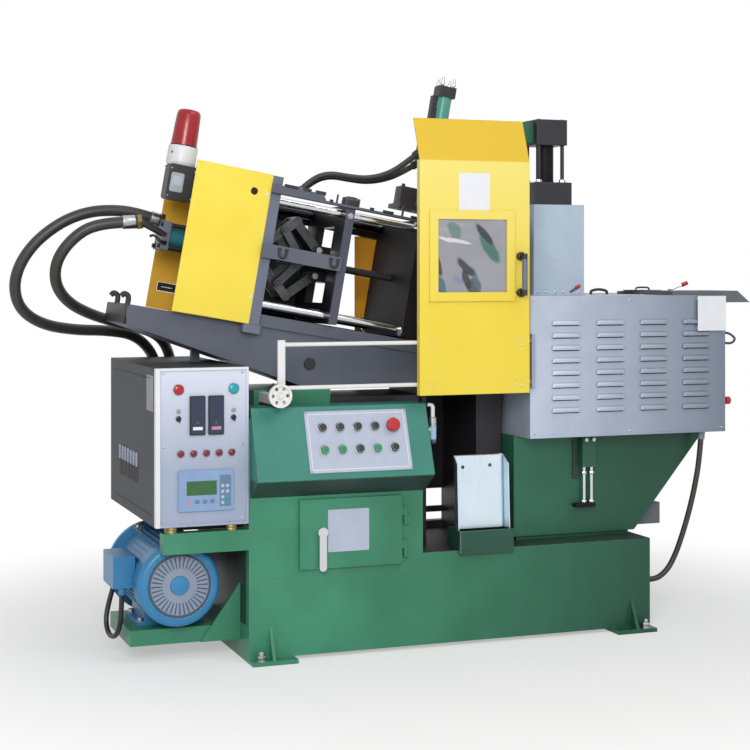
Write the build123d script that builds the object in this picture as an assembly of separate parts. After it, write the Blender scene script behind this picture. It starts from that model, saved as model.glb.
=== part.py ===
from build123d import *
import os
from math import cos, radians, sin, tan

os.makedirs("parts", exist_ok=True)

# A small hot-chamber die casting machine, in millimetres. X runs from the pump end to the
# furnace, Y from the operator's side to the back, Z up from the floor. The clamp unit has a
# frame of its own, tilted down towards the furnace: u along it, y across it, w square to both.

# Clearances
seat = 0.3
slide_fit = 0.1
pivot_play = 2.2
drive_play = 1.2

# Bed
bed_length = 1305
bed_depth = 600
bed_base_top = 240
deck_top = 285
raised_length = 536
raised_top = 700
bed_wall = 6
foot_thick = 12
foot_width = 135
foot_out = 45
anchor_radius = 9
anchor_from_end = 30
anchor_from_edge = 21
gusset_from_end = 60
gusset_thick = 10
gusset_height = 88

# Compartment door in the raised part of the bed
door_left = 149
door_right = 465
door_bottom = 260
door_top = 462
door_thick = 12
door_lap = 12
door_hinge_radius = 6
door_hinge_gap = 7
door_hinge_length = 52
door_hinge_bottoms = (278, 376)
lever_left = 203
lever_top = 382
lever_width = 22
lever_base_height = 30
lever_length = 112
lever_thick = 10
lever_stand = 14
lever_pivot_radius = 6

# Operator console
console_left = 4
console_right = 542
console_low_y = -80
console_low_z = 527
console_high_y = -5
console_top = 730
console_back_y = 100
panel_left = 160
panel_right = 474
panel_low = 19
panel_high = 201
panel_thick = 3
button_row_low = 85
button_row_high = 151
button_first = 209
button_pitch = 54
button_radius = 11
button_height = 14
stop_radius = 20
stop_neck_radius = 9
stop_height = 24
stop_head = 12
stop_travel = 5

# Control cabinet on its shelf
cabinet_left = -272
cabinet_right = -2
cabinet_bottom = 402
cabinet_top = 849
cabinet_depth = 636
front_thick = 14
front_rim = 14
front_rim_height = 4
shelf_left = -250
shelf_bottom = 325
shelf_top = 384
shelf_beam_depth = 40
rear_beam_left = -150
rear_beam_y = 540
shelf_foot_radius = 18
meter_width = 44
meter_height = 110
meter_left = (-174, -120)
meter_bottom = 660
meter_out = 8
screen_box = (-207, -47, 445, 560)
screen_out = 7

# Pump drive
motor_x = -190
motor_z = 227
fan_cover_gap = 10
fan_cover_radius = 120
fan_cover_length = 70
fan_cover_round = 20
motor_radius = 114
motor_length = 275
motor_flange_radius = 138
motor_flange_thick = 16
bell_radius = 88
bell_length = 60
pump_radius = 52
pump_length = 128
manifold_x = -125
manifold_size = (200, 100, 90)
motor_foot_width = 196
motor_foot_length = 170
motor_foot_thick = 12
motor_foot_back = 40
terminal_size = (64, 146, 92)
terminal_back = 26
terminal_drop = 16
cable_end_inset = 14
motor_base_left = -322
motor_base_behind = 51
motor_base_length = 290
motor_base_bottom = 52
motor_base_top = 97
motor_gusset_width = 118
motor_gusset_height = 120

# Clamp unit
tilt = 10
clamp_x = 87
clamp_z = 1182
platen_half_width = 180
platen_half_height = 221
rear_platen_thick = 32
fixed_platen_start = 740
fixed_platen_thick = 40
tie_bar_radius = 12
tie_bar_half_y = 140
tie_bar_half_w = 156
tie_nut_radius = 22
tie_nut_length = 24
moving_half_height = 180
toggle_plate_start = 228
toggle_plate_thick = 26
toggle_post_width = 95
toggle_beam_height = 62
toggle_middle_height = 56
moving_platen_start = 466
moving_platen_thick = 60
ejector_radius = 11
cap_length = 46
cap_width = 34
cap_height = 25
slide_rail_height = 35
slide_rail_near = 105
slide_rail_far = 150

# Toggle linkage
pivot_from_rear_face = 24
pivot_from_plate = 24
pivot_w = 40
link_length = 112
link_half_width = 14
link_pin_radius = 8
drive_pin_radius = 6
drive_pin_along = 60
inner_half_y = 30
outer_near_y = 34
outer_far_y = 48
upper_drive_near_y = 53
lower_drive_near_y = 66
drive_thick = 8
crosshead_u = 150
crosshead_half_length = 18
crosshead_half_height = 15
crosshead_half_width = 45
rod_radius = 15
rod_back = 330

# Clamp cover, cylinder and what stands on them
cover_length = 233
cover_bottom = -220
cover_top = 225
cover_thick = 4
cover_top_length = 184
cover_hole_radius = 11
cover_hole = (-66, 167)
cover_slot = (-225, -165, -160, -132)
barrel_radius = 29
barrel_back = 261
cylinder_head = 84
cylinder_head_length = 24
cylinder_foot_length = 20
cylinder_rod_radius = 6
cylinder_rod_inset = 9
gauge_size = (86, 62, 100)
gauge_left = -300
bracket_left = -306
bracket_thick = 6
bracket_half_y = 50
bracket_w = 208
beacon_u = -257
beacon_base_radius = 45
beacon_base_height = 60
beacon_dome_radius = 39
beacon_dome_height = 112
beacon_dome_round = 12
mid_bar_half_height = 21
mid_bar_thick = 12
mid_bar_gap = 10
mid_bar_end = 230
side_bar_gap = 6
top_strip_thick = 6
top_strip_low = 171
top_strip_high = 180
top_strip_raised_end = 142
top_strip_raised = 198
far_bar_thick = 12
far_bar_low = 128
far_bar_high = 178
toggle_guard_end = 240
toggle_guard_notch = 205
toggle_guard_notch_w = 80
toggle_guard_bottom = -150
toggle_guard_thick = 4
hose_bracket_end = 190
hose_bracket_w = 196
hose_bracket_half_y = 34
hose_bracket_thick = 14

# Inclined base of the clamp unit
beam_half_width = 140
beam_start = -375
beam_end = 800
beam_bottom = 768
beam_tip_height = 60
beam_taper_end = 238
pedestal_left = 60
pedestal_right = 300
stand_left = 780
stand_right = 866
stand_leg_left = 596
stand_leg_thick = 16
stand_back_thick = 12
stand_back_low = 414
stand_bar_low = 337
stand_bar_high = 356
stand_sill_high = 309
casting_slot_left = 640
casting_slot_right = 776
casting_slot_half_y = 95
strut_left = -96
strut_width = 24
strut_sunk = 10

# Core cylinder over the die space
core_u = 548
core_bracket_start = 440
core_bracket_half_y = 52
core_bracket_thick = 14
core_foot_height = 40
core_radius = 25
core_cap_w = 597
core_cap_height = 34
core_cap_width = 54
core_foot_width = 76
core_strip_out = 16
core_stud_radius = 4
core_stud_height = 28
core_port_low = 366
core_port_high = 440
core_port_length = 30
core_valve_start = 446
core_valve_length = 54
core_valve_height = 56

# Guard door on its rails
guard_left = 502
guard_right = 858
guard_bottom = 757
guard_fold = 1450
guard_top = 1577
guard_front = -60
guard_top_y = -10
guard_thick = 4
guard_return = 18
window_left = 558
window_right = 780
window_bottom = 1060
window_top = 1276
window_frame = 27
window_frame_out = 8
glass_thick = 4
glass_rebate = 8
handle_inset = 32
handle_bottom = 1050
handle_top = 1175
handle_stand = 34
handle_radius = 8
rail_rod_radius = 6
rail_y = -30
rail_upper_z = 912
rail_lower_z = 788
rail_post_left = 76
rail_post_width = 22
rail_post_thick = 8
rail_post_top = 925
rail_end_plate = 10
rail_shoe_width = 30
rail_shoe_height = 34
rail_shoe_depth = 26
rail_shoe_inset = 20
wheel_radius = 34
wheel_thick = 12
wheel_rim = 7
wheel_hub_radius = 11
wheel_axle_radius = 6
wheel_y = -60
rear_guard_left = 500
rear_guard_gap = 20
rear_guard_top = 1236
guard_lug = 24

# Chute under the die space
chute_left = 655
chute_panel_right = 806
chute_wing_far = 818
chute_wing_near = 826
chute_bottom = 343
chute_top = 565
chute_low_y = 35
chute_high_y = 46
chute_thick = 3
chute_side = 26
chute_recess = 10
chute_holder_left = 782
chute_holder_top = 530
chute_holder_height = 30
tray_left = 653
tray_right = 828
tray_top = 343
tray_front = -12
tray_back = 90
tray_wall = 5
tray_lip_bottom = 272

# Furnace end
housing_left = 877
housing_front = 90
housing_depth = 420
housing_plinth = 14
housing_plinth_inset = 14
housing_low_right = 1299
housing_high_right = 1560
furnace_left = 884
furnace_right = 1573
furnace_front = -10
furnace_back = 610
furnace_bottom = 612
furnace_top = 1047
louvre_rows = 8
louvre_columns = 4
louvre_first_x = 963
louvre_pitch_x = 153
louvre_first_z = 697
louvre_pitch_z = 38.2
louvre_length = 86
louvre_height = 13
louvre_out = 8
jack_left = 1103
jack_bottom = 384
jack_top = 606
jack_rod_radius = 5
jack_rod_gap = 26
jack_block_height = 98
burner_box = (1335, 1428, 150, 250, 304, 372)
charge_left = 1381
charge_back = 170
charge_thick = 13
charge_lip_out = 47
charge_lip_drop = 24
charge_overhang = 92
lid_x = 1450
lid_y = 300
lid_radius = 84
lid_thick = 9
lid_rim = 20
lid_crown = 4
shot_x = 1082
shot_ahead = 10
shot_cover_left = 988
shot_cover_right = 1168
shot_cover_depth = 240
shot_cover_top = 1335
shot_block = 130
shot_low_height = 74
shot_barrel_radius = 28
shot_barrel_height = 121
shot_head = 108
shot_head_height = 82
shot_rod_radius = 6
shot_rod_inset = 12
shot_valve = (44, 60, 68)

# Lubricator beside the console
lubricator_x = 562
lubricator_y = -14
lubricator_bottom = 611
lubricator_height = 82
lubricator_radius = 11
lubricator_elbow = 30

# Cords
hose_radius = 17
top_hose_radius = 9.5
furnace_hose_radius = 9
cable_radius = 7.5
ferrule_length = 40
ferrule_extra = 3

middle_y = bed_depth / 2
raised_back = bed_depth
fan_cover_front = shelf_beam_depth + fan_cover_gap
motor_base_front = fan_cover_front + motor_base_behind
shot_y = middle_y - shot_ahead
rear_guard_y = middle_y + platen_half_width + rear_guard_gap
handle_x = guard_right - handle_inset
clamp_frame = Plane(
    origin=(clamp_x, middle_y, clamp_z),
    x_dir=(cos(radians(tilt)), 0, -sin(radians(tilt))),
    z_dir=(sin(radians(tilt)), 0, cos(radians(tilt))),
)
rear_face = rear_platen_thick / 2
nodes = {}


def world(u, w):
    """X and Z of a point of the clamp frame."""
    x = clamp_x + u * cos(radians(tilt)) + w * sin(radians(tilt))
    z = clamp_z - u * sin(radians(tilt)) + w * cos(radians(tilt))
    return x, z


def clamp_point(u, y, w):
    x, z = world(u, w)
    return Vector(x, middle_y + y, z)


def block(x0, x1, y0, y1, z0, z1):
    corner = (Align.MIN, Align.MIN, Align.MIN)
    return Pos(x0, y0, z0) * Box(x1 - x0, y1 - y0, z1 - z0, align=corner)


def bar(start, end, radius):
    """Round bar between two points."""
    start, end = Vector(start), Vector(end)
    plane = Plane(origin=start, z_dir=end - start)
    base = (Align.CENTER, Align.CENTER, Align.MIN)
    return plane * Cylinder(radius, (end - start).length, align=base)


def tube(start, end, radius, bore):
    return bar(start, end, radius) - bar(start, end, bore)


def xz_prism(points, y0, y1):
    outline = Polyline(*[(x, y0, z) for x, z in points], close=True)
    return extrude(make_face(outline), amount=y1 - y0, dir=(0, 1, 0))


def yz_prism(points, x0, x1):
    outline = Polyline(*[(x0, y, z) for y, z in points], close=True)
    return extrude(make_face(outline), amount=x1 - x0, dir=(1, 0, 0))


def in_clamp(shape):
    """Takes a shape drawn in the clamp frame, with y from the machine's middle, to its place."""
    return clamp_frame.location * shape


def joined(*shapes):
    whole = shapes[0]
    for shape in shapes[1:]:
        whole = whole + shape
    return whole


# Bed and console


def make_bed_base():
    base = block(0, bed_length, 0, bed_depth, foot_thick, bed_base_top)
    base += block(raised_length + seat, bed_length, 0, bed_depth, bed_base_top, deck_top)
    for left in (0, bed_length - foot_width):
        base += block(left, left + foot_width, -foot_out, bed_depth + foot_out, 0, foot_thick)
    for end, inward in ((0, 1), (bed_length, -1)):
        left = end + inward * gusset_from_end - (gusset_thick if inward < 0 else 0)
        for face, outward in ((0, -1), (bed_depth, 1)):
            triangle = [
                (face, foot_thick),
                (face + outward * (foot_out - 4), foot_thick),
                (face, foot_thick + gusset_height),
            ]
            base += yz_prism(triangle, left, left + gusset_thick)
            hole_x = end + inward * anchor_from_end
            hole_y = face + outward * (foot_out - anchor_from_edge)
            base -= bar((hole_x, hole_y, -1), (hole_x, hole_y, foot_thick + 1), anchor_radius)
    last, before = furnace_points[-1], furnace_points[-2]
    return base + hose_ferrule(last, before, furnace_hose_radius, 1.5 * ferrule_length)


def door_hinge_barrels(lower_half):
    """Half of each hinge barrel; the lower halves carry the pins."""
    x = door_right + door_hinge_gap + door_hinge_radius
    y = -door_hinge_radius - seat
    pieces = []
    for bottom in door_hinge_bottoms:
        middle = bottom + door_hinge_length / 2
        top = bottom + door_hinge_length
        if lower_half:
            pieces.append(bar((x, y, bottom), (x, y, middle - seat), door_hinge_radius))
            pieces.append(bar((x, y, middle - seat), (x, y, top - seat), door_hinge_radius / 2))
            leaf = block(x, x + door_hinge_radius + 8, y - 1, 0, bottom, middle - seat)
            pieces.append(leaf)
        else:
            pin_hole = door_hinge_radius / 2 + slide_fit
            barrel = tube((x, y, middle), (x, y, top), door_hinge_radius, pin_hole)
            leaf = block(door_right - 1, x, y - 2, y + 2, middle, top)
            leaf -= bar((x, y, middle - 1), (x, y, top + 1), door_hinge_radius - 1)
            pieces.append(barrel + leaf)
    return pieces


def make_bed_cabinet():
    shell = block(0, raised_length, 0, raised_back, bed_base_top, raised_top)
    shell -= block(
        bed_wall,
        raised_length - bed_wall,
        bed_wall,
        raised_back - bed_wall,
        bed_base_top + bed_wall,
        raised_top - bed_wall,
    )
    shell -= block(
        door_left + door_lap,
        door_right - door_lap,
        -1,
        bed_wall + 1,
        door_bottom + door_lap,
        door_top - door_lap,
    )
    shell += block(
        pedestal_left,
        pedestal_right,
        middle_y - beam_half_width,
        middle_y + beam_half_width,
        raised_top,
        beam_bottom,
    )
    for piece in door_hinge_barrels(lower_half=True):
        shell += piece
    return shell


def make_bed_door():
    door = block(door_left, door_right, -door_thick - seat, -seat, door_bottom, door_top)
    for piece in door_hinge_barrels(lower_half=False):
        door += piece
    pivot_x, pivot_z = lever_pivot()
    lever_seat = -door_thick - seat
    door += bar(
        (pivot_x, lever_seat, pivot_z),
        (pivot_x, lever_seat - lever_stand, pivot_z),
        lever_pivot_radius,
    )
    return door


def lever_pivot():
    return lever_left + lever_width / 2, lever_top - lever_base_height / 2


def make_bed_door_lever():
    pivot_x, pivot_z = lever_pivot()
    back = -door_thick - 2 * seat
    front = back - lever_stand - 4
    boss = bar((pivot_x, back, pivot_z), (pivot_x, front, pivot_z), lever_base_height / 2)
    arm = block(
        lever_left,
        lever_left + lever_width,
        front,
        front + lever_thick,
        pivot_z - lever_length,
        pivot_z,
    )
    arm = fillet(arm.edges().filter_by(Axis.Y).group_by(Axis.Z)[0], lever_width / 2 - 1)
    bore = bar(
        (pivot_x, back + 1, pivot_z),
        (pivot_x, back - lever_stand, pivot_z),
        lever_pivot_radius + slide_fit,
    )
    return boss + arm - bore


def console_plane():
    """Plane of the sloping face: x along the machine, y up the slope, z outward."""
    up = Vector(0, console_high_y - console_low_y, console_top - console_low_z).normalized()
    outward = Vector(1, 0, 0).cross(up)
    return Plane(origin=(0, console_low_y, console_low_z), x_dir=(1, 0, 0), z_dir=outward)


def make_console_box():
    outline = [
        (0, raised_top),
        (0, console_foot_z()),
        (console_low_y, console_low_z),
        (console_high_y, console_top),
        (console_back_y, console_top),
        (console_back_y, raised_top),
    ]
    box = yz_prism(outline, console_left, console_right)
    base = (Align.CENTER, Align.CENTER, Align.MAX)
    stop_x = button_first + 4 * button_pitch
    well = Cylinder(stop_neck_radius + 1, stop_travel * 2, align=base)
    return box - console_plane().location * Pos(stop_x, button_row_high, 0) * well


def console_foot_z():
    return door_top + 10


def make_console_panel():
    width = panel_right - panel_left
    height = panel_high - panel_low
    corner = (Align.MIN, Align.MIN, Align.MIN)
    panel = Pos(panel_left, panel_low, 0) * Box(width, height, panel_thick, align=corner)
    base = (Align.CENTER, Align.CENTER, Align.MIN)
    button = Cylinder(button_radius, button_height, align=base)
    for index in range(5):
        x = button_first + index * button_pitch
        panel += Pos(x, button_row_low, panel_thick) * button
        if index < 4:
            panel += Pos(x, button_row_high, panel_thick) * button
    stop_x = button_first + 4 * button_pitch
    hole = Cylinder(stop_neck_radius + slide_fit, panel_thick * 2, align=base)
    panel -= Pos(stop_x, button_row_high, 0) * hole
    return console_plane().location * panel


def make_emergency_stop():
    base = (Align.CENTER, Align.CENTER, Align.MIN)
    neck = Cylinder(stop_neck_radius, stop_height - stop_head, align=base)
    head = Cylinder(stop_radius, stop_head, align=base)
    head = fillet(head.edges().group_by(Axis.Z)[-1], stop_head / 3)
    button = Pos(0, 0, seat) * neck + Pos(0, 0, stop_height - stop_head + seat) * head
    stop_x = button_first + 4 * button_pitch
    return console_plane().location * Pos(stop_x, button_row_high, 0) * button


# Control cabinet, shelf and pump drive


def make_cabinet_body():
    body = block(
        cabinet_left, cabinet_right, front_thick, cabinet_depth, cabinet_bottom, cabinet_top
    )
    return body


def make_cabinet_front():
    front = block(cabinet_left, cabinet_right, 0, front_thick, cabinet_bottom, cabinet_top)
    front += block(
        cabinet_left, cabinet_right, -front_rim_height, 0, cabinet_bottom, cabinet_top
    )
    front -= block(
        cabinet_left + front_rim,
        cabinet_right - front_rim / 2,
        -front_rim_height,
        0,
        cabinet_bottom + front_rim / 2,
        cabinet_top - front_rim / 2,
    )
    for left in meter_left:
        top = meter_bottom + meter_height
        front += block(left, left + meter_width, -meter_out, 0, meter_bottom, top)
    left, right, low, high = screen_box
    front += block(left, right, -screen_out, 0, low, high)
    return front


def make_cabinet_shelf():
    """Two beams out from the bed, the rear one shorter, each with two feet for the cabinet."""
    shelf = []
    for left, y0 in ((shelf_left, 0), (rear_beam_left, rear_beam_y)):
        beam = block(left, -seat, y0, y0 + shelf_beam_depth, shelf_bottom, shelf_top)
        y = y0 + shelf_beam_depth / 2
        for x in (left + shelf_foot_radius + 10, -shelf_foot_radius - 30):
            beam += bar((x, y, shelf_top), (x, y, cabinet_bottom), shelf_foot_radius)
        shelf.append(beam)
    return joined(*shelf)


def make_motor_base():
    base = block(
        motor_base_left,
        -seat,
        motor_base_front,
        motor_base_front + motor_base_length,
        motor_base_bottom,
        motor_base_top,
    )
    corner = -seat
    toe = corner - motor_gusset_width
    top = motor_base_top + motor_gusset_height
    triangle = [(corner, motor_base_bottom), (toe, motor_base_bottom), (corner, top)]
    return base + xz_prism(triangle, motor_base_front - gusset_thick, motor_base_front)


def motor_back():
    return fan_cover_front + fan_cover_length + motor_length


def make_motor():
    y0 = fan_cover_front
    y1 = y0 + fan_cover_length
    y2 = motor_back()
    cowl = bar((motor_x, y0, motor_z), (motor_x, y1, motor_z), fan_cover_radius)
    cowl = fillet(cowl.edges().group_by(Axis.Y)[0], fan_cover_round)
    frame = bar((motor_x, y1, motor_z), (motor_x, y2, motor_z), motor_radius)
    flange = bar(
        (motor_x, y2, motor_z),
        (motor_x, y2 + motor_flange_thick, motor_z),
        motor_flange_radius,
    )
    foot_front = y1 + motor_foot_back
    foot = block(
        motor_x - motor_foot_width / 2,
        motor_x + motor_foot_width / 2,
        foot_front,
        foot_front + motor_foot_length,
        motor_base_top,
        motor_base_top + motor_foot_thick,
    )
    saddle = block(
        motor_x - motor_foot_width / 2 + 20,
        motor_x + motor_foot_width / 2 - 20,
        foot_front,
        foot_front + motor_foot_length,
        motor_base_top,
        motor_z - motor_radius / 2,
    )
    return joined(cowl, frame, flange, foot, saddle)


def make_terminal_box():
    width, length, height = terminal_size
    right = motor_x - motor_radius + 6
    y0 = terminal_front()
    low = motor_z - terminal_drop
    box = block(right - width, right, y0, y0 + length, low, low + height)
    core = bar((motor_x, y0 - 1, motor_z), (motor_x, y0 + length + 1, motor_z), motor_radius + seat)
    box -= core
    for point in cable_ends():
        box += bar(point, (point[0], point[1], low), cable_radius + ferrule_extra)
    return box


def terminal_front():
    return fan_cover_front + fan_cover_length + terminal_back


def cable_ends():
    width, length, height = terminal_size
    x = motor_x - motor_radius + 6 - width / 2 - 4
    y0 = terminal_front()
    z = motor_z - terminal_drop - ferrule_length / 2
    return (x, y0 + cable_end_inset, z), (x, y0 + length - cable_end_inset, z)


def pump_front():
    return motor_back() + motor_flange_thick


def make_hydraulic_pump():
    y0 = pump_front()
    y1 = y0 + bell_length
    y2 = y1 + pump_length
    bell = bar((motor_x, y0, motor_z), (motor_x, y1, motor_z), bell_radius)
    body = bar((motor_x, y1, motor_z), (motor_x, y2, motor_z), pump_radius)
    width, depth, height = manifold_size
    manifold = block(
        manifold_x - width / 2,
        manifold_x + width / 2,
        y2,
        y2 + depth,
        motor_z - height / 2,
        motor_z + height / 2,
    )
    pump = joined(bell, body, manifold)
    for points in (outer_points, inner_points):
        end = Vector(*points[-1])
        pump += bar((end.X, end.Y, motor_z), end, hose_radius + ferrule_extra)
    return pump


# Clamp unit


def plate(u0, u1, half_y, half_w):
    return block(u0, u1, -half_y, half_y, -half_w, half_w)


def tie_bar_places():
    return [(y, w) for y in (-tie_bar_half_y, tie_bar_half_y) for w in (-tie_bar_half_w, tie_bar_half_w)]


def bored(shape, u0, u1, radius):
    """Bores a plate for the four tie bars."""
    for y, w in tie_bar_places():
        shape -= bar((u0 - 1, y, w), (u1 + 1, y, w), radius)
    return shape


def make_clamp_base():
    low_w = -platen_half_height
    left_x, left_z = world(beam_start, low_w)
    right_x, right_z = world(beam_end, low_w)
    outline = [
        (left_x, left_z),
        (right_x, right_z),
        (right_x, beam_bottom),
        (beam_taper_end, beam_bottom),
        (left_x, left_z - beam_tip_height),
    ]
    beam = xz_prism(outline, middle_y - beam_half_width, middle_y + beam_half_width)
    beam -= block(
        casting_slot_left,
        casting_slot_right,
        middle_y - casting_slot_half_y,
        middle_y + casting_slot_half_y,
        beam_bottom - 1,
        clamp_z,
    )
    strut = block(
        strut_left,
        strut_left + strut_width,
        middle_y - strut_width / 2,
        middle_y + strut_width / 2,
        cabinet_top,
        beam_underside(strut_left + strut_width / 2) + strut_sunk,
    )
    return beam + strut + slide_rails()


def slide_rails():
    """Two low rails on the beam, under the moving platens."""
    low = -platen_half_height
    rails = []
    for y0, y1 in ((-slide_rail_far, -slide_rail_near), (slide_rail_near, slide_rail_far)):
        rail = block(rear_face, fixed_platen_start, y0, y1, low, low + slide_rail_height)
        rails.append(rail)
    return in_clamp(joined(*rails))


def beam_underside(x):
    left_x, left_z = world(beam_start, -platen_half_height)
    start = left_z - beam_tip_height
    return start + (beam_bottom - start) * (x - left_x) / (beam_taper_end - left_x)


def make_platen_stand():
    """Column, left leg and a back plate with two gaps, around the space where castings fall."""
    near, far = middle_y - beam_half_width, middle_y + beam_half_width
    stand = block(stand_left, stand_right, near, far, deck_top, beam_bottom)
    leg_right = stand_leg_left + stand_leg_thick
    stand += block(stand_leg_left, leg_right, near, far, deck_top, beam_bottom)
    back = far - stand_back_thick
    for low, high in (
        (deck_top, stand_sill_high),
        (stand_bar_low, stand_bar_high),
        (stand_back_low, beam_bottom),
    ):
        stand += block(leg_right, stand_left, back, far, low, high)
    return stand


def lug(u_face, u_pivot, y0, y1, w):
    """Rounded lug from a plate's face to a pivot."""
    low, high = sorted((u_face, u_pivot))
    body = block(low, high, y0, y1, w - link_half_width, w + link_half_width)
    return body + bar((u_pivot, y0, w), (u_pivot, y1, w), link_half_width)


def rear_pivot_u():
    return rear_face + pivot_from_rear_face


def front_pivot_u():
    return toggle_plate_start - pivot_from_plate


def make_rear_platen():
    platen = plate(-rear_face, rear_face, platen_half_width, platen_half_height)
    for w in (-pivot_w, pivot_w):
        u = rear_pivot_u()
        platen += lug(rear_face, u, -inner_half_y, inner_half_y, w)
        platen += bar((u, -outer_far_y - 4, w), (u, outer_far_y + 4, w), link_pin_radius)
    platen = bored(platen, -rear_face, rear_face, tie_bar_radius + slide_fit)
    platen -= bar((-rear_face - 1, 0, 0), (rear_face + 60, 0, 0), rod_radius + 2)
    return in_clamp(platen)


def make_fixed_platen():
    end = fixed_platen_start + fixed_platen_thick
    platen = plate(fixed_platen_start, end, platen_half_width, platen_half_height)
    platen = bored(platen, fixed_platen_start, end, tie_bar_radius + slide_fit)
    return in_clamp(platen)


def make_tie_bars():
    end = fixed_platen_start + fixed_platen_thick
    bars = []
    for y, w in tie_bar_places():
        tie = bar((-rear_face - tie_nut_length, y, w), (end + tie_nut_length, y, w), tie_bar_radius)
        for u in (-rear_face - tie_nut_length, end):
            tie += bar((u, y, w), (u + tie_nut_length, y, w), tie_nut_radius)
        bars.append(tie)
    return in_clamp(joined(*bars))


def make_moving_platen():
    start = moving_platen_start
    end = start + moving_platen_thick
    platen = plate(start, end, platen_half_width, moving_half_height)
    return in_clamp(bored(platen, start, end, tie_bar_radius + slide_fit))


def make_toggle_plate():
    start = toggle_plate_start
    end = start + toggle_plate_thick
    frame = plate(start, end, platen_half_width, moving_half_height)
    window_y = platen_half_width - toggle_post_width
    window_w = moving_half_height - toggle_beam_height
    middle = toggle_middle_height / 2
    frame -= block(start - 1, end + 1, -window_y, window_y, middle, window_w)
    frame -= block(start - 1, end + 1, -window_y, window_y, -window_w, -middle)
    frame = bored(frame, start, end, tie_bar_radius + slide_fit)
    pivot = front_pivot_u()
    reach = pivot_w + link_half_width
    frame += block(start, end, -outer_far_y, outer_far_y, -reach, reach)
    for w in (-pivot_w, pivot_w):
        for y0, y1 in ((-outer_far_y, -outer_near_y), (outer_near_y, outer_far_y)):
            frame += lug(start, pivot, y0, y1, w)
        frame += bar((pivot, -outer_far_y, w), (pivot, outer_far_y, w), link_pin_radius)
    frame += bar((end, 0, 0), (moving_platen_start, 0, 0), ejector_radius)
    cap_start = (start + end) / 2 - cap_length / 2
    cap = block(
        cap_start,
        cap_start + cap_length,
        -platen_half_width,
        -platen_half_width + cap_width,
        moving_half_height,
        moving_half_height + cap_height,
    )
    return in_clamp(frame + cap)


def link_angle():
    """Angle of the closed toggle links above the clamp axis, as cosine and sine."""
    half = (front_pivot_u() - rear_pivot_u()) / 2
    return half / link_length, (1 - (half / link_length) ** 2) ** 0.5


def link_plate(start, end, y0, y1, half_width):
    """Flat link with round ends between two points (u, w)."""
    start_point = Vector(start[0], y0, start[1])
    end_point = Vector(end[0], y0, end[1])
    along = end_point - start_point
    plane = Plane(origin=start_point, x_dir=along, z_dir=(0, -1, 0))
    side = (Align.MIN, Align.CENTER, Align.MAX)
    body = plane * Box(along.length, 2 * half_width, y1 - y0, align=side)
    for point in (start, end):
        body += bar((point[0], y0, point[1]), (point[0], y1, point[1]), half_width)
    return body


def make_rear_link(side):
    """Two cheeks from the rear platen to the knee, tied by the knee pin and the drive pin."""
    cosine, sine = link_angle()
    pivot = (rear_pivot_u(), side * pivot_w)
    knee = (pivot[0] + link_length * cosine, pivot[1] + side * link_length * sine)
    drive = (pivot[0] + drive_pin_along * cosine, pivot[1] + side * drive_pin_along * sine)
    link = bar((knee[0], -outer_far_y, knee[1]), (knee[0], outer_far_y, knee[1]), link_pin_radius)
    for y0, y1 in ((-outer_far_y, -outer_near_y), (outer_near_y, outer_far_y)):
        link += link_plate(pivot, knee, y0, y1, link_half_width)
    reach = drive_near_y(side) + drive_thick + 3
    for y0, y1 in ((-reach, -outer_near_y), (outer_near_y, reach)):
        link += bar((drive[0], y0, drive[1]), (drive[0], y1, drive[1]), drive_pin_radius)
    hole = link_pin_radius + slide_fit
    link -= bar((pivot[0], -reach, pivot[1]), (pivot[0], reach, pivot[1]), hole)
    return in_clamp(link)


def make_front_link(side):
    """Middle link from the knee to the toggle plate; its knee hole has the linkage's play."""
    cosine, sine = link_angle()
    pivot = (front_pivot_u(), side * pivot_w)
    knee = (pivot[0] - link_length * cosine, pivot[1] + side * link_length * sine)
    link = link_plate(pivot, knee, -inner_half_y, inner_half_y, link_half_width)
    for point, play in ((pivot, slide_fit), (knee, pivot_play)):
        hole = bar(
            (point[0], -inner_half_y - 1, point[1]),
            (point[0], inner_half_y + 1, point[1]),
            link_pin_radius + play,
        )
        link -= hole
    return in_clamp(link)


def drive_near_y(side):
    return upper_drive_near_y if side > 0 else lower_drive_near_y


def make_drive_link(side):
    """Pair of short links from the crosshead's pin to the rear link's drive pin."""
    cosine, sine = link_angle()
    start = (crosshead_u, 0)
    end = (
        rear_pivot_u() + drive_pin_along * cosine,
        side * (pivot_w + drive_pin_along * sine),
    )
    near = drive_near_y(side)
    far = near + drive_thick
    pair = []
    for y0, y1 in ((-far, -near), (near, far)):
        link = link_plate(start, end, y0, y1, link_half_width - 2)
        link -= bar((start[0], y0 - 1, 0), (start[0], y1 + 1, 0), link_pin_radius + slide_fit)
        link -= bar((end[0], y0 - 1, end[1]), (end[0], y1 + 1, end[1]), drive_pin_radius + drive_play)
        pair.append(link)
    return in_clamp(joined(*pair))


def make_crosshead():
    head = block(
        crosshead_u - crosshead_half_length,
        crosshead_u + crosshead_half_length,
        -crosshead_half_width,
        crosshead_half_width,
        -crosshead_half_height,
        crosshead_half_height,
    )
    pin_reach = lower_drive_near_y + drive_thick + 3
    head += bar((crosshead_u, -pin_reach, 0), (crosshead_u, pin_reach, 0), link_pin_radius)
    head += bar((crosshead_u - rod_back, 0, 0), (crosshead_u, 0, 0), rod_radius)
    return in_clamp(head)


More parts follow.
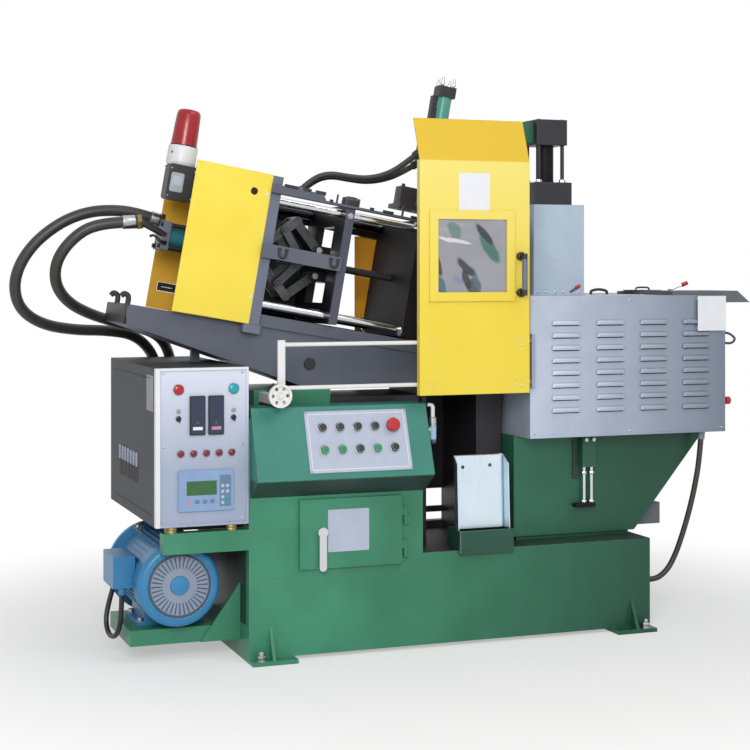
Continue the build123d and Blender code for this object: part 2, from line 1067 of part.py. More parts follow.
def make_closing_cylinder():
    tail = -rear_face - barrel_back + 16
    head = cylinder_head / 2
    cylinder = bar((tail, 0, 0), (-rear_face, 0, 0), barrel_radius)
    cylinder += block(tail - cylinder_head_length, tail, -head, head, -head, head)
    cylinder += block(-rear_face - cylinder_foot_length, -rear_face, -head, head, -head, head)
    place = head - cylinder_rod_inset
    for y in (-place, place):
        for w in (-place, place):
            cylinder += bar((tail, y, w), (-rear_face, y, w), cylinder_rod_radius)
    cylinder -= bar((tail + 6, 0, 0), (0, 0, 0), rod_radius + slide_fit)
    cylinder = in_clamp(cylinder)
    for points, length in ((outer_points, ferrule_length), (inner_points, 1.5 * ferrule_length)):
        start, following = Vector(*points[0]), Vector(*points[1])
        inward = (start - following).normalized()
        ferrule_end = start + inward * length
        root = clamp_point(tail - cylinder_head_length / 2, start.Y - middle_y, 0)
        cylinder += bar(start, ferrule_end, hose_radius + ferrule_extra)
        cylinder += bar(ferrule_end - inward * 6, root, hose_radius * 0.6)
    return cylinder


def make_clamp_cover():
    left = -rear_face - cover_length
    side = platen_half_width
    cover = block(left, -rear_face, -side, -side + cover_thick, cover_bottom, cover_top)
    cover += block(left, -rear_face, side - cover_thick, side, cover_bottom, cover_top)
    top_left = -rear_face - cover_top_length
    cover += block(top_left, -rear_face, -side, side, cover_top - cover_thick, cover_top)
    hole_u, hole_w = cover_hole
    cover -= bar((hole_u, -side - 1, hole_w), (hole_u, 1 - side + cover_thick, hole_w), cover_hole_radius)
    u0, u1, w0, w1 = cover_slot
    cover -= block(u0, u1, side - cover_thick - 1, side + 1, w0, w1)
    return in_clamp(cover)


def make_beacon():
    """Warning light on its bracket, which hangs on the cover's top plate."""
    top_left = -rear_face - cover_top_length
    bracket = block(
        bracket_left,
        top_left + 12,
        -bracket_half_y,
        bracket_half_y,
        bracket_w,
        bracket_w + bracket_thick,
    )
    bracket += block(
        top_left,
        top_left + 12,
        -bracket_half_y,
        bracket_half_y,
        bracket_w,
        cover_top - cover_thick,
    )
    low = bracket_w + bracket_thick
    middle = low + beacon_base_height
    high = middle + beacon_dome_height
    base = bar((beacon_u, 0, low), (beacon_u, 0, middle), beacon_base_radius)
    dome = bar((beacon_u, 0, middle), (beacon_u, 0, high), beacon_dome_radius)
    dome = fillet(dome.edges().group_by(Axis.Z)[-1], beacon_dome_round)
    return in_clamp(joined(bracket, base, dome))


def make_gauge_box():
    length, width, height = gauge_size
    box = block(
        gauge_left,
        gauge_left + length,
        -bracket_half_y - 10,
        width - bracket_half_y - 10,
        bracket_w - height,
        bracket_w,
    )
    box = fillet(box.edges().filter_by(Axis.Y), 10)
    return in_clamp(box)


def make_side_bars():
    """Near side: flat bar at mid height on a spacer, and the flat strip along the top."""
    near = -platen_half_width - mid_bar_gap
    bars = block(
        -rear_face,
        mid_bar_end,
        near - mid_bar_thick,
        near,
        -mid_bar_half_height,
        mid_bar_half_height,
    )
    bars += block(
        -rear_face, rear_face, near, -platen_half_width, -mid_bar_half_height, mid_bar_half_height
    )
    back = -platen_half_width - side_bar_gap
    outline = [
        (-rear_face, top_strip_low),
        (fixed_platen_start + fixed_platen_thick, top_strip_low),
        (fixed_platen_start + fixed_platen_thick, top_strip_high),
        (top_strip_raised_end + 2 * side_bar_gap, top_strip_high),
        (top_strip_raised_end, top_strip_raised),
        (-rear_face, top_strip_raised),
    ]
    strip = xz_prism(outline, back - top_strip_thick, back)
    strip += end_spacers(back, -platen_half_width, top_strip_low, top_strip_high)
    return in_clamp(bars + strip)


def end_spacers(y0, y1, low, high):
    """Spacers between a side bar and the edges of the rear and fixed platens."""
    spacers = block(-rear_face, rear_face, y0, y1, low, high)
    end = fixed_platen_start + fixed_platen_thick
    return spacers + block(fixed_platen_start, end, y0, y1, low, high)


def make_far_side_bar():
    near = platen_half_width + side_bar_gap
    end = fixed_platen_start + fixed_platen_thick
    far_bar = block(-rear_face, end, near, near + far_bar_thick, far_bar_low, far_bar_high)
    far_bar += end_spacers(platen_half_width, near, far_bar_low, far_bar_high)
    return in_clamp(far_bar)


def make_toggle_guard():
    """Sheet behind the toggle, from the far side bar down, with a notch at its upper corner."""
    near = platen_half_width + side_bar_gap
    outline = [
        (-rear_face, toggle_guard_bottom),
        (toggle_guard_end, toggle_guard_bottom),
        (toggle_guard_end, toggle_guard_notch_w),
        (toggle_guard_notch, toggle_guard_notch_w),
        (toggle_guard_notch, far_bar_low),
        (-rear_face, far_bar_low),
    ]
    guard = xz_prism(outline, near, near + toggle_guard_thick)
    guard += block(
        -rear_face, rear_face, platen_half_width, near, toggle_guard_bottom, toggle_guard_bottom + 40
    )
    return in_clamp(guard)


def make_hose_bracket():
    bracket = block(
        rear_face,
        hose_bracket_end,
        -hose_bracket_half_y,
        hose_bracket_half_y,
        hose_bracket_w,
        hose_bracket_w + hose_bracket_thick,
    )
    bracket = in_clamp(bracket)
    for points in (top_front_points, top_rear_points):
        bracket += hose_ferrule(points[0], points[1], top_hose_radius, ferrule_length / 2)
    return bracket


def hose_ferrule(point, following, radius, length):
    start, following = Vector(*point), Vector(*following)
    inward = (start - following).normalized()
    return bar(start, start + inward * length, radius + ferrule_extra)


def make_core_cylinder():
    platen_top = platen_half_height
    end = fixed_platen_start + fixed_platen_thick
    bracket_top = platen_top + core_bracket_thick
    bracket = block(
        core_bracket_start, end, -core_bracket_half_y, core_bracket_half_y, platen_top, bracket_top
    )
    foot = core_foot_width / 2
    cap = core_cap_width / 2
    body = block(
        core_u - foot, core_u + foot, -foot, foot, bracket_top, bracket_top + core_foot_height
    )
    body += bar((core_u, 0, bracket_top), (core_u, 0, core_cap_w), core_radius)
    cap_top = core_cap_w + core_cap_height
    body += block(core_u - cap, core_u + cap, -cap, cap, core_cap_w, cap_top)
    stud_place = cap - core_stud_radius * 2
    for du in (-stud_place, stud_place):
        for y in (-stud_place, stud_place):
            body += bar(
                (core_u + du, y, cap_top),
                (core_u + du, y, cap_top + core_stud_height),
                core_stud_radius,
            )
    body += block(
        core_u - core_radius - core_strip_out,
        core_u - core_radius + 6,
        -12,
        12,
        core_cap_w - 40,
        core_cap_w,
    )
    port_left = core_u - core_radius - core_port_length
    body += block(
        port_left,
        core_u,
        -core_bracket_half_y / 2,
        core_bracket_half_y / 2,
        core_port_low,
        core_port_high,
    )
    body += block(
        core_valve_start,
        core_valve_start + core_valve_length,
        -core_bracket_half_y / 2,
        core_bracket_half_y / 2,
        bracket_top,
        bracket_top + core_valve_height,
    )
    cylinder = in_clamp(bracket + body)
    for points in (top_front_points, top_rear_points):
        cylinder += hose_ferrule(points[-1], points[-2], top_hose_radius, ferrule_length)
    return cylinder


# Guard door and rails


def make_guard_door():
    back = guard_front + guard_thick
    panel = block(guard_left, guard_right, guard_front, back, guard_bottom, guard_fold)
    slope = [
        (guard_front, guard_fold),
        (guard_top_y, guard_top),
        (guard_top_y + guard_thick, guard_top),
        (back, guard_fold),
    ]
    panel += yz_prism(slope, guard_left, guard_right)
    for left in (guard_left, guard_right - guard_thick):
        panel += block(left, left + guard_thick, back, back + guard_return, guard_bottom, guard_fold)
    panel += block(
        window_left - window_frame,
        window_right + window_frame,
        guard_front - window_frame_out,
        guard_front,
        window_bottom - window_frame,
        window_top + window_frame,
    )
    panel -= block(
        window_left,
        window_right,
        guard_front - window_frame_out - 1,
        back + 1,
        window_bottom,
        window_top,
    )
    panel -= block(
        window_left - glass_rebate,
        window_right + glass_rebate,
        guard_front - glass_thick / 2,
        back + 1,
        window_bottom - glass_rebate,
        window_top + glass_rebate,
    )
    for left in (guard_left + rail_shoe_inset, guard_right - rail_shoe_inset - rail_shoe_width):
        for z in (rail_lower_z, rail_upper_z):
            shoe = block(
                left,
                left + rail_shoe_width,
                back,
                rail_y + rail_shoe_depth / 2,
                z - rail_shoe_height / 2,
                z + rail_shoe_height / 2,
            )
            shoe -= bar(
                (left - 1, rail_y, z),
                (left + rail_shoe_width + 1, rail_y, z),
                rail_rod_radius + slide_fit,
            )
            panel += shoe
    return panel


def make_door_window():
    return block(
        window_left - glass_rebate,
        window_right + glass_rebate,
        guard_front - glass_thick / 2,
        guard_front + glass_thick / 2,
        window_bottom - glass_rebate,
        window_top + glass_rebate,
    )


def make_door_handle():
    grip_y = guard_front - handle_stand
    grip = bar((handle_x, grip_y, handle_bottom), (handle_x, grip_y, handle_top), handle_radius)
    for z in (handle_bottom + handle_radius, handle_top - handle_radius):
        grip += bar((handle_x, guard_front, z), (handle_x, grip_y, z), handle_radius)
    return grip


def make_guard_rails():
    post_y = rail_y - rail_post_thick / 2
    post_right = rail_post_left + rail_post_width
    rails = block(
        rail_post_left,
        post_right,
        post_y,
        post_y + rail_post_thick,
        rail_lower_z - 30,
        rail_post_top,
    )
    for z in (rail_lower_z, rail_upper_z):
        rails += bar((post_right, rail_y, z), (furnace_left - seat, rail_y, z), rail_rod_radius)
    arm_top = beam_bottom - 4
    rails += block(
        rail_post_left,
        post_right,
        post_y,
        middle_y - beam_half_width,
        console_top + 6,
        arm_top,
    )
    axle_x, axle_z = wheel_centre()
    rails += bar(
        (axle_x, wheel_y - wheel_thick / 2 - 4, axle_z), (axle_x, rail_y, axle_z), wheel_axle_radius
    )
    end_left = furnace_left - rail_end_plate
    rails += block(
        end_left,
        furnace_left,
        rail_y - 14,
        furnace_front + 50,
        rail_lower_z - 20,
        rail_upper_z + 20,
    )
    return rails


def wheel_centre():
    return rail_post_left + rail_post_width / 2 - 12, rail_lower_z - 20


def make_rail_wheel():
    x, z = wheel_centre()
    front = wheel_y - wheel_thick / 2
    back = wheel_y + wheel_thick / 2
    rim = tube((x, front, z), (x, back, z), wheel_radius, wheel_radius - wheel_rim)
    disc = bar((x, wheel_y - 2, z), (x, wheel_y + 2, z), wheel_radius - 1)
    for place in PolarLocations((wheel_radius + wheel_hub_radius) / 2 - 1, 6):
        dx, dz = place.position.X, place.position.Y
        disc -= bar((x + dx, wheel_y - 3, z + dz), (x + dx, wheel_y + 3, z + dz), 5)
    hub = bar((x, front, z), (x, back + 3, z), wheel_hub_radius)
    wheel = joined(rim, disc, hub)
    return wheel - bar((x, front - 1, z), (x, back + 4, z), wheel_axle_radius + slide_fit)


def make_rear_guard():
    y0 = rear_guard_y
    y1 = y0 + guard_thick
    guard = block(rear_guard_left, guard_right, y0, y1, guard_bottom, rear_guard_top)
    far_bar_back = middle_y + platen_half_width + side_bar_gap + far_bar_thick
    for w, front in (
        (-tie_bar_half_w - guard_lug / 3, middle_y + platen_half_width),
        ((far_bar_low + far_bar_high) / 2, far_bar_back),
    ):
        x, z = world(fixed_platen_start + fixed_platen_thick / 2, w)
        reach = guard_lug / 2
        guard += block(x - reach, x + reach, front, y0, z - reach, z + reach)
    return guard


# Chute and furnace end


def chute_lean(z):
    """How far the chute has leaned back at a height."""
    share = (z - chute_bottom) / (chute_top - chute_bottom)
    return chute_low_y + share * (chute_high_y - chute_low_y)


def make_chute():
    """Bent sheet: a wall, the panel, a recess and the right wing, with their tops cut off askew."""
    path = [
        (chute_left, -chute_side),
        (chute_left, 0),
        (chute_panel_right, 0),
        (chute_panel_right, chute_recess),
        (chute_wing_far, chute_recess),
        (chute_wing_far, 0),
        (chute_wing_near, -chute_side),
    ]
    t = chute_thick
    inner = [
        (chute_wing_near - t, -chute_side),
        (chute_wing_far - t, -t),
        (chute_wing_far - t, chute_recess - t),
        (chute_panel_right + t, chute_recess - t),
        (chute_panel_right + t, -t),
        (chute_left + t, -t),
        (chute_left + t, -chute_side),
    ]
    sections = []
    for z in (chute_bottom, chute_top):
        lean = chute_lean(z)
        outline = [(x, lean + y, z) for x, y in path + inner]
        sections.append(make_face(Polyline(*outline, close=True)))
    chute = loft(sections)
    slope = [
        (chute_high_y - 2 * chute_side, chute_top - 2 * chute_side),
        (chute_high_y, chute_top),
        (chute_high_y, chute_top + 1),
        (chute_high_y - 2 * chute_side, chute_top + 1),
    ]
    chute -= yz_prism(slope, chute_left - 1, chute_wing_near + 1)
    return chute + block(
        chute_holder_left,
        chute_panel_right,
        chute_lean(chute_holder_top) - 1,
        middle_y - beam_half_width,
        chute_holder_top - chute_holder_height,
        chute_holder_top,
    )


def make_catch_tray():
    """Open box on the deck whose front hangs a little over the bed's edge."""
    tray = block(tray_left, tray_right, tray_front, tray_back, deck_top, tray_top)
    tray -= block(
        tray_left + tray_wall,
        tray_right - tray_wall,
        tray_front + tray_wall,
        tray_back - tray_wall,
        deck_top + tray_wall,
        tray_top + 1,
    )
    return tray + block(tray_left, tray_right, tray_front, -seat, tray_lip_bottom, deck_top)


def make_furnace_housing():
    low = deck_top + housing_plinth
    top = furnace_bottom
    outline = [
        (housing_left, low),
        (housing_low_right, low),
        (housing_high_right, top),
        (housing_left, top),
    ]
    back = housing_front + housing_depth
    housing = xz_prism(outline, housing_front, back)
    inset = housing_plinth_inset
    housing += block(
        housing_left + inset,
        housing_low_right - inset,
        housing_front + inset,
        back - inset,
        deck_top,
        low,
    )
    x0, x1, y0, y1, z0, z1 = burner_box
    housing += block(x0, x1, y0, y1, z0, z1)
    jack_right = jack_left + jack_rod_gap + 4 * jack_rod_radius
    front = housing_front - 26
    housing += block(
        jack_left, jack_right, front, housing_front, jack_top - jack_block_height, jack_top
    )
    housing += block(jack_left, jack_right, front, housing_front, jack_bottom, jack_bottom + 10)
    for index in range(2):
        x = jack_left + 2 * jack_rod_radius + index * jack_rod_gap
        y = (front + housing_front) / 2
        housing += bar((x, y, jack_bottom), (x, y, jack_top), jack_rod_radius)
    return housing


def make_furnace_cover():
    cover = block(
        furnace_left, furnace_right, furnace_front, furnace_back, furnace_bottom, furnace_top
    )
    for column in range(louvre_columns):
        left = louvre_first_x + column * louvre_pitch_x
        for row in range(louvre_rows):
            low = louvre_first_z + row * louvre_pitch_z - louvre_height / 2
            profile = [
                (furnace_front, low),
                (furnace_front - louvre_out, low),
                (furnace_front, low + louvre_height),
            ]
            cover += yz_prism(profile, left, left + louvre_length)
    first, second = furnace_points[0], furnace_points[1]
    return cover + hose_ferrule(first, second, furnace_hose_radius, ferrule_length)


def make_charging_plate():
    low = furnace_top + seat
    top = low + charge_thick
    inner = furnace_right + seat
    right = furnace_right + charge_overhang
    outline = [
        (charge_left, low),
        (charge_left, top),
        (right - charge_lip_out, top),
        (right, furnace_top - charge_lip_drop),
        (inner, furnace_top - charge_lip_drop),
        (inner, low),
    ]
    return xz_prism(outline, furnace_front, charge_back)


def make_pot_lid():
    low = furnace_top + seat
    top = low + lid_thick
    lid = bar((lid_x, lid_y, low), (lid_x, lid_y, top), lid_radius)
    return lid + bar((lid_x, lid_y, top), (lid_x, lid_y, top + lid_crown), lid_radius - lid_rim)


def make_shot_cover():
    return block(
        shot_cover_left,
        shot_cover_right,
        middle_y - shot_cover_depth / 2,
        middle_y + shot_cover_depth / 2,
        furnace_top,
        shot_cover_top,
    )


def make_shot_cylinder():
    half = shot_block / 2
    low = shot_cover_top
    barrel_low = low + shot_low_height
    barrel_high = barrel_low + shot_barrel_height
    top = barrel_high + shot_head_height
    cylinder = block(shot_x - half, shot_x + half, shot_y - half, shot_y + half, low, barrel_low)
    cylinder += bar((shot_x, shot_y, low), (shot_x, shot_y, top), shot_barrel_radius)
    head = shot_head / 2
    cylinder += block(shot_x - head, shot_x + head, shot_y - head, shot_y + head, barrel_high, top)
    place = head - shot_rod_inset
    for dx in (-place, place):
        for dy in (-place, place):
            x, y = shot_x + dx, shot_y + dy
            cylinder += bar((x, y, low), (x, y, top), shot_rod_radius)
    length, width, height = shot_valve
    valve_right = shot_x - head
    cylinder += block(
        valve_right - length,
        valve_right,
        shot_y - width / 2,
        shot_y + width / 2,
        top - height - 8,
        top - 8,
    )
    return cylinder


def make_lubricator():
    x, y = lubricator_x, lubricator_y
    low = lubricator_bottom
    top = low + lubricator_height
    body = bar((x, y, low), (x, y, top), lubricator_radius)
    body += bar((console_right, y, (low + top) / 2), (x, y, (low + top) / 2), lubricator_radius / 2)
    body += bar((x, y, top), (x, y, top + lubricator_elbow), lubricator_radius / 2)
    elbow_top = top + lubricator_elbow
    body += bar((x, y, elbow_top - 6), (x - 16, y, elbow_top - 2), lubricator_radius / 2)
    return body


# Cords: each is a chain of straight runs joined by tangent arcs



def from_middle(points):
    """Route points whose y is given from the machine's middle."""
    return [(x, middle_y + y, z) for x, y, z in points]


outer_points = from_middle([
    (-212, 35, 1284),
    (-255, 35, 1297),
    (-318, 36, 1305),
    (-402, 38, 1299),
    (-489, 45, 1262),
    (-572, 60, 1188),
    (-612, 82, 1096),
    (-592, 115, 1012),
    (-518, 155, 962),
    (-408, 210, 942),
    (-296, 262, 938),
    (-196, 314, 920),
    (-126, 362, 852),
    (-106, 380, 752),
    (-106, 378, 640),
    (-108, 378, 520),
    (-106, 378, 400),
    (-106, 378, 290),
])
inner_points = from_middle([
    (-311, -35, 1266),
    (-390, -29, 1262),
    (-458, -16, 1216),
    (-500, 5, 1150),
    (-496, 38, 1082),
    (-450, 82, 1028),
    (-374, 140, 992),
    (-286, 205, 966),
    (-196, 266, 946),
    (-116, 324, 916),
    (-72, 370, 850),
    (-62, 381, 752),
    (-62, 378, 640),
    (-60, 378, 520),
    (-62, 378, 400),
    (-62, 378, 290),
])
top_front_points = from_middle([
    (250, -16, 1376),
    (287, -16, 1409),
    (340, -16, 1425),
    (400, -16, 1416),
    (458, -16, 1411),
    (515, -16, 1421),
    (570, -16, 1446),
    (622, -16, 1486),
])
top_rear_points = from_middle([
    (262, 16, 1374),
    (299, 16, 1405),
    (352, 16, 1420),
    (411, 16, 1411),
    (469, 16, 1404),
    (525, 16, 1411),
    (578, 16, 1428),
    (628, 16, 1456),
])
furnace_points = [
    (1519, 48, 584),
    (1515, 50, 524),
    (1507, 54, 462),
    (1496, 60, 398),
    (1482, 67, 334),
    (1466, 75, 272),
    (1447, 83, 212),
    (1420, 91, 158),
    (1372, 97, 128),
    (1322, 101, 140),
]


def cord_radii(points):
    """Arc at each corner: 0.45 of its shorter run over the tangent of half the turn."""
    corners = [Vector(*point) for point in points]
    radii = []
    for before, corner, after in zip(corners, corners[1:], corners[2:]):
        run_in, run_out = corner - before, after - corner
        turn = radians(run_in.get_angle(run_out))
        radii.append(0.45 * min(run_in.length, run_out.length) / tan(turn / 2))
    return radii


def make_cord(name, points, radius):
    radii = cord_radii(points)
    path = FilletPolyline(*points, radius=radii)
    start = Plane(origin=path @ 0, z_dir=path % 0)
    cord = sweep(start * Circle(radius), path=path)
    section = 3.141592653589793 * radius**2
    print(
        name,
        "length",
        round(path.length),
        "smallest radius",
        round(min(radii)),
        "volume over section times length",
        round(cord.volume / (section * path.length), 4),
    )
    return cord


def cable_points():
    """Loop that hangs between the two glands of the terminal box and swings out to the left."""
    (x, near, z), (_, far, _) = cable_ends()
    return [
        (x, near, z),
        (x - 1, near, z - 44),
        (x - 4, near + 6, z - 92),
        (x - 12, near + 32, z - 128),
        (x - 22, far - 34, z - 131),
        (x - 25, far - 5, z - 96),
        (x - 16, far + 2, z - 48),
        (x - 3, far, z - 4),
    ]


nodes["bed_base"] = make_bed_base()
nodes["bed_cabinet"] = make_bed_cabinet()
nodes["bed_door"] = make_bed_door()
nodes["bed_door_lever"] = make_bed_door_lever()
nodes["console_box"] = make_console_box()
nodes["console_panel"] = make_console_panel()
nodes["emergency_stop"] = make_emergency_stop()
nodes["cabinet_body"] = make_cabinet_body()
nodes["cabinet_front"] = make_cabinet_front()
nodes["cabinet_shelf"] = make_cabinet_shelf()
nodes["motor_base"] = make_motor_base()
nodes["motor"] = make_motor()
nodes["terminal_box"] = make_terminal_box()
nodes["hydraulic_pump"] = make_hydraulic_pump()
nodes["clamp_base"] = make_clamp_base()
nodes["platen_stand"] = make_platen_stand()
nodes["rear_platen"] = make_rear_platen()
nodes["fixed_platen"] = make_fixed_platen()
nodes["tie_bars"] = make_tie_bars()
nodes["moving_platen"] = make_moving_platen()
nodes["toggle_plate"] = make_toggle_plate()
nodes["crosshead"] = make_crosshead()
for place, side in (("upper", 1), ("lower", -1)):
    nodes[place + "_rear_link"] = make_rear_link(side)
    nodes[place + "_front_link"] = make_front_link(side)
    nodes[place + "_drive_link"] = make_drive_link(side)
nodes["closing_cylinder"] = make_closing_cylinder()
nodes["clamp_cover"] = make_clamp_cover()
nodes["beacon"] = make_beacon()
nodes["gauge_box"] = make_gauge_box()
nodes["side_bars"] = make_side_bars()
nodes["far_side_bar"] = make_far_side_bar()
nodes["toggle_guard"] = make_toggle_guard()
nodes["hose_bracket"] = make_hose_bracket()
nodes["core_cylinder"] = make_core_cylinder()
nodes["guard_door"] = make_guard_door()
nodes["door_window"] = make_door_window()
nodes["door_handle"] = make_door_handle()
nodes["guard_rails"] = make_guard_rails()
nodes["rail_wheel"] = make_rail_wheel()
nodes["rear_guard"] = make_rear_guard()
nodes["chute"] = make_chute()
nodes["catch_tray"] = make_catch_tray()
nodes["furnace_housing"] = make_furnace_housing()
nodes["furnace_cover"] = make_furnace_cover()
nodes["charging_plate"] = make_charging_plate()
nodes["pot_lid"] = make_pot_lid()
nodes["shot_cover"] = make_shot_cover()
nodes["shot_cylinder"] = make_shot_cylinder()
nodes["lubricator"] = make_lubricator()

cords = {
    "hose_outer": make_cord("hose_outer", outer_points, hose_radius),
    "hose_inner": make_cord("hose_inner", inner_points, hose_radius),
    "top_hose_front": make_cord("top_hose_front", top_front_points, top_hose_radius),
    "top_hose_rear": make_cord("top_hose_rear", top_rear_points, top_hose_radius),
    "furnace_hose": make_cord("furnace_hose", furnace_points, furnace_hose_radius),
    "motor_cable": make_cord("motor_cable", cable_points(), cable_radius),
}

# The origin is on the floor, under the middle of everything but the cords
boxes = [shape.bounding_box() for shape in nodes.values()]
low_x, high_x = min(box.min.X for box in boxes), max(box.max.X for box in boxes)
low_y, high_y = min(box.min.Y for box in boxes), max(box.max.Y for box in boxes)
origin = Vector((low_x + high_x) / 2, (low_y + high_y) / 2, 0)
print("origin", origin, "x", low_x, high_x, "y", low_y, high_y)
for name, shape in {**nodes, **cords}.items():
    export_step(Location(-origin) * shape, "parts/" + name + ".step")
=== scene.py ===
# %% [markdown]
# # A small hot-chamber die casting machine, dressed for its picture
# The solid model comes from CAD and stays where it is. Blender adds what CAD leaves plain: paint,
# sheet metal, hoses, fasteners, instruments and light. All lengths below are in millimetres of
# the machine's own frame, X from the left end of the bed, Y from its front, Z from the floor.

from itertools import product
from math import cos, pi, radians, sin

import bpy
import numpy as np
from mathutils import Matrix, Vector


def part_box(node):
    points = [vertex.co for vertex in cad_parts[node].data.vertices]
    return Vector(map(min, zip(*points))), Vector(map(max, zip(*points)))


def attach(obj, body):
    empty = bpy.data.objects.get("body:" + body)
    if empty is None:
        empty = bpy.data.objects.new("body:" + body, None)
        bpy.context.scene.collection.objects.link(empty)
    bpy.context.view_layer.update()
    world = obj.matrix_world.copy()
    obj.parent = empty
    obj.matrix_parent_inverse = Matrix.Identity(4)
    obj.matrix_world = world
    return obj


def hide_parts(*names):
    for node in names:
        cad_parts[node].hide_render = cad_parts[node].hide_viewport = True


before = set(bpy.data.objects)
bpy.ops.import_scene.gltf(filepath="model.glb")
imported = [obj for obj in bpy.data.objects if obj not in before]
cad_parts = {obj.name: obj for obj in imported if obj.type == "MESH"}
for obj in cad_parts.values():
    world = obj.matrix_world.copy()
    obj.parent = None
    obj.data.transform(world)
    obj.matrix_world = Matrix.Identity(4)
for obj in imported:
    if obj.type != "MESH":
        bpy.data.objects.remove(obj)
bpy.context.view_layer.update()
foot_overhang = 45
bed_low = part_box("bed_base")[0]
corner = np.array([bed_low.x * 1000, bed_low.y * 1000 + foot_overhang, 0.0])
up, front, left = (0, 0, 1), (0, -1, 0), (-1, 0, 0)
print("machine corner in the row frame, mm:", corner.round(1))


def metres(points):
    """Row-frame metres = (machine millimetres + the corner's place) / 1000."""
    return (np.asarray(points, float) + corner) / 1000


def new_object(name, data):
    """An object that holds mesh, curve, camera or lamp data, linked to the scene."""
    thing = bpy.data.objects.new(name, data)
    bpy.context.scene.collection.objects.link(thing)
    return thing


# %% [markdown]
# ## Camera
# The picture was taken from the operator's side, a little to the left of square on, from about
# 4.6 m away and with the lens level at a standing person's chest. A level camera keeps upright
# edges upright, and a small vertical shift brings the feet into the frame, as a view camera does.

# %% Camera
view_turn = radians(-20.4)
focal_pixels = 1610
picture_pixels = 750
horizon_row = 272
camera_data = bpy.data.cameras.new("camera")
camera_data.sensor_width = 36
camera_data.lens = focal_pixels / picture_pixels * camera_data.sensor_width
camera_data.shift_y = (horizon_row - picture_pixels / 2) / picture_pixels
camera_data.clip_end = 100
camera = new_object("camera", camera_data)
camera.location = metres([-1266, -4437, 1120])
camera.rotation_euler = (pi / 2, 0, view_turn)
bpy.context.scene.camera = camera
print("lens", round(camera_data.lens, 1), "mm, shift", round(camera_data.shift_y, 3))

# %% [markdown]
# ## Making a piece
# Every new piece is a surface worked out with numpy: a grid of points, rows by columns, turned
# into four-sided faces in one step. A closed piece whose volume comes out negative is inside
# out, so its faces are turned round. That is surer than remembering which way each grid runs.


# %% Lofts, merged shapes and pieces
def volume(points, faces):
    """Signed volume = sum over fan triangles of a . (b x c) / 6."""
    fans = [(f[0], f[i], f[i + 1]) for f in faces for i in range(1, len(f) - 1)]
    a, b, c = points[np.array(fans)].transpose(1, 0, 2)
    return np.einsum("ij,ij->i", a, np.cross(b, c)).sum() / 6


def loft(loops):
    """Closed loops of equal length joined in turn by quads, with the first and last loop filled in."""
    rows, count = loops.shape[:2]
    index = np.arange(rows * count).reshape(rows, count)
    after = np.roll(index, -1, axis=1)
    quads = np.stack([index[:-1], index[1:], after[1:], after[:-1]], axis=-1).reshape(-1, 4)
    faces = quads.tolist() + [index[0, ::-1].tolist(), index[-1].tolist()]
    points = loops.reshape(-1, 3)
    if volume(points - points.mean(0), faces) < 0:
        faces = [face[::-1] for face in faces]
    return points, faces


def merged(shapes):
    """All shapes as one: points are stacked, and face numbers move up by the points before them."""
    points, faces, start = [], [], 0
    for shape_points, shape_faces in shapes:
        points.append(shape_points)
        faces += [[i + start for i in face] for face in shape_faces]
        start += len(shape_points)
    return np.vstack(points), faces


def piece(name, groups, body="machine", replaces=None):
    """One mesh object from groups of shapes, each group in its own finish, riding on a body."""
    points, faces = merged([shape for shapes in groups.values() for shape in shapes])
    counts = [sum(len(shape[1]) for shape in shapes) for shapes in groups.values()]
    mesh = bpy.data.meshes.new(name)
    mesh.from_pydata(metres(points), [], faces)
    for finish in groups:
        mesh.materials.append(finishes[finish])
    mesh.polygons.foreach_set("material_index", np.repeat(np.arange(len(counts)), counts))
    mesh.polygons.foreach_set("use_smooth", np.ones(len(faces), bool))
    mesh.set_sharp_from_angle(angle=radians(35))
    mesh.update()
    thing = new_object(name, mesh)
    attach(thing, body)
    if replaces:
        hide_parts(replaces)
    print(name, len(faces), "faces on", body)


# %% [markdown]
# ## Plates, rods and bent bars
# Nearly everything on a machine is a plate with broken edges, a turned part or a bent bar. A
# plate is a rounded outline stacked four times, drawn in at both ends for its bevel. A turned part
# is a profile carried round an axis. A bent bar is a circle carried along a smooth line.


# %% Plates, turned parts and bent bars
def rounded_outline(width, height, round_by, steps=4):
    """Rectangle with round corners = corner centres + radius * (cos t, sin t), a quarter turn each."""
    turn = (np.arange(4)[:, None] * pi / 2 + np.linspace(0, pi / 2, steps + 1)).ravel()
    signs = np.repeat([(1, 1), (-1, 1), (-1, -1), (1, -1)], steps + 1, axis=0)
    centres = signs * (np.array([width, height]) / 2 - round_by)
    return centres + round_by * np.column_stack([np.cos(turn), np.sin(turn)])


def slab(x, y, z, axis=2, round_by=3.0, bevel=1.0):
    """Block between pairs x, y and z: outlines along axis, those at the ends smaller by bevel."""
    low, high = np.array([x, y, z], float).T
    size = high - low
    a, b = [(1, 2), (2, 0), (0, 1)][axis]
    round_by = min(round_by, 0.49 * size[a], 0.49 * size[b])
    bevel = min(bevel, 0.9 * round_by, 0.45 * size[axis])
    loops = []
    for along, inset in ((0, bevel), (bevel, 0), (size[axis] - bevel, 0), (size[axis], bevel)):
        flat = rounded_outline(size[a] - 2 * inset, size[b] - 2 * inset, round_by - inset)
        loop = np.empty((len(flat), 3))
        loop[:, [a, b]] = (low[[a, b]] + high[[a, b]]) / 2 + flat
        loop[:, axis] = low[axis] + along
        loops.append(loop)
    return loft(np.array(loops))


def around(centre, half):
    """The pair of places that lie half a width to each side of a centre."""
    return centre - half, centre + half


def circle(side, other, count):
    """Unit circle = cos t * side + sin t * other."""
    turn = np.arange(count)[:, None] * 2 * pi / count
    return np.cos(turn) * side + np.sin(turn) * other


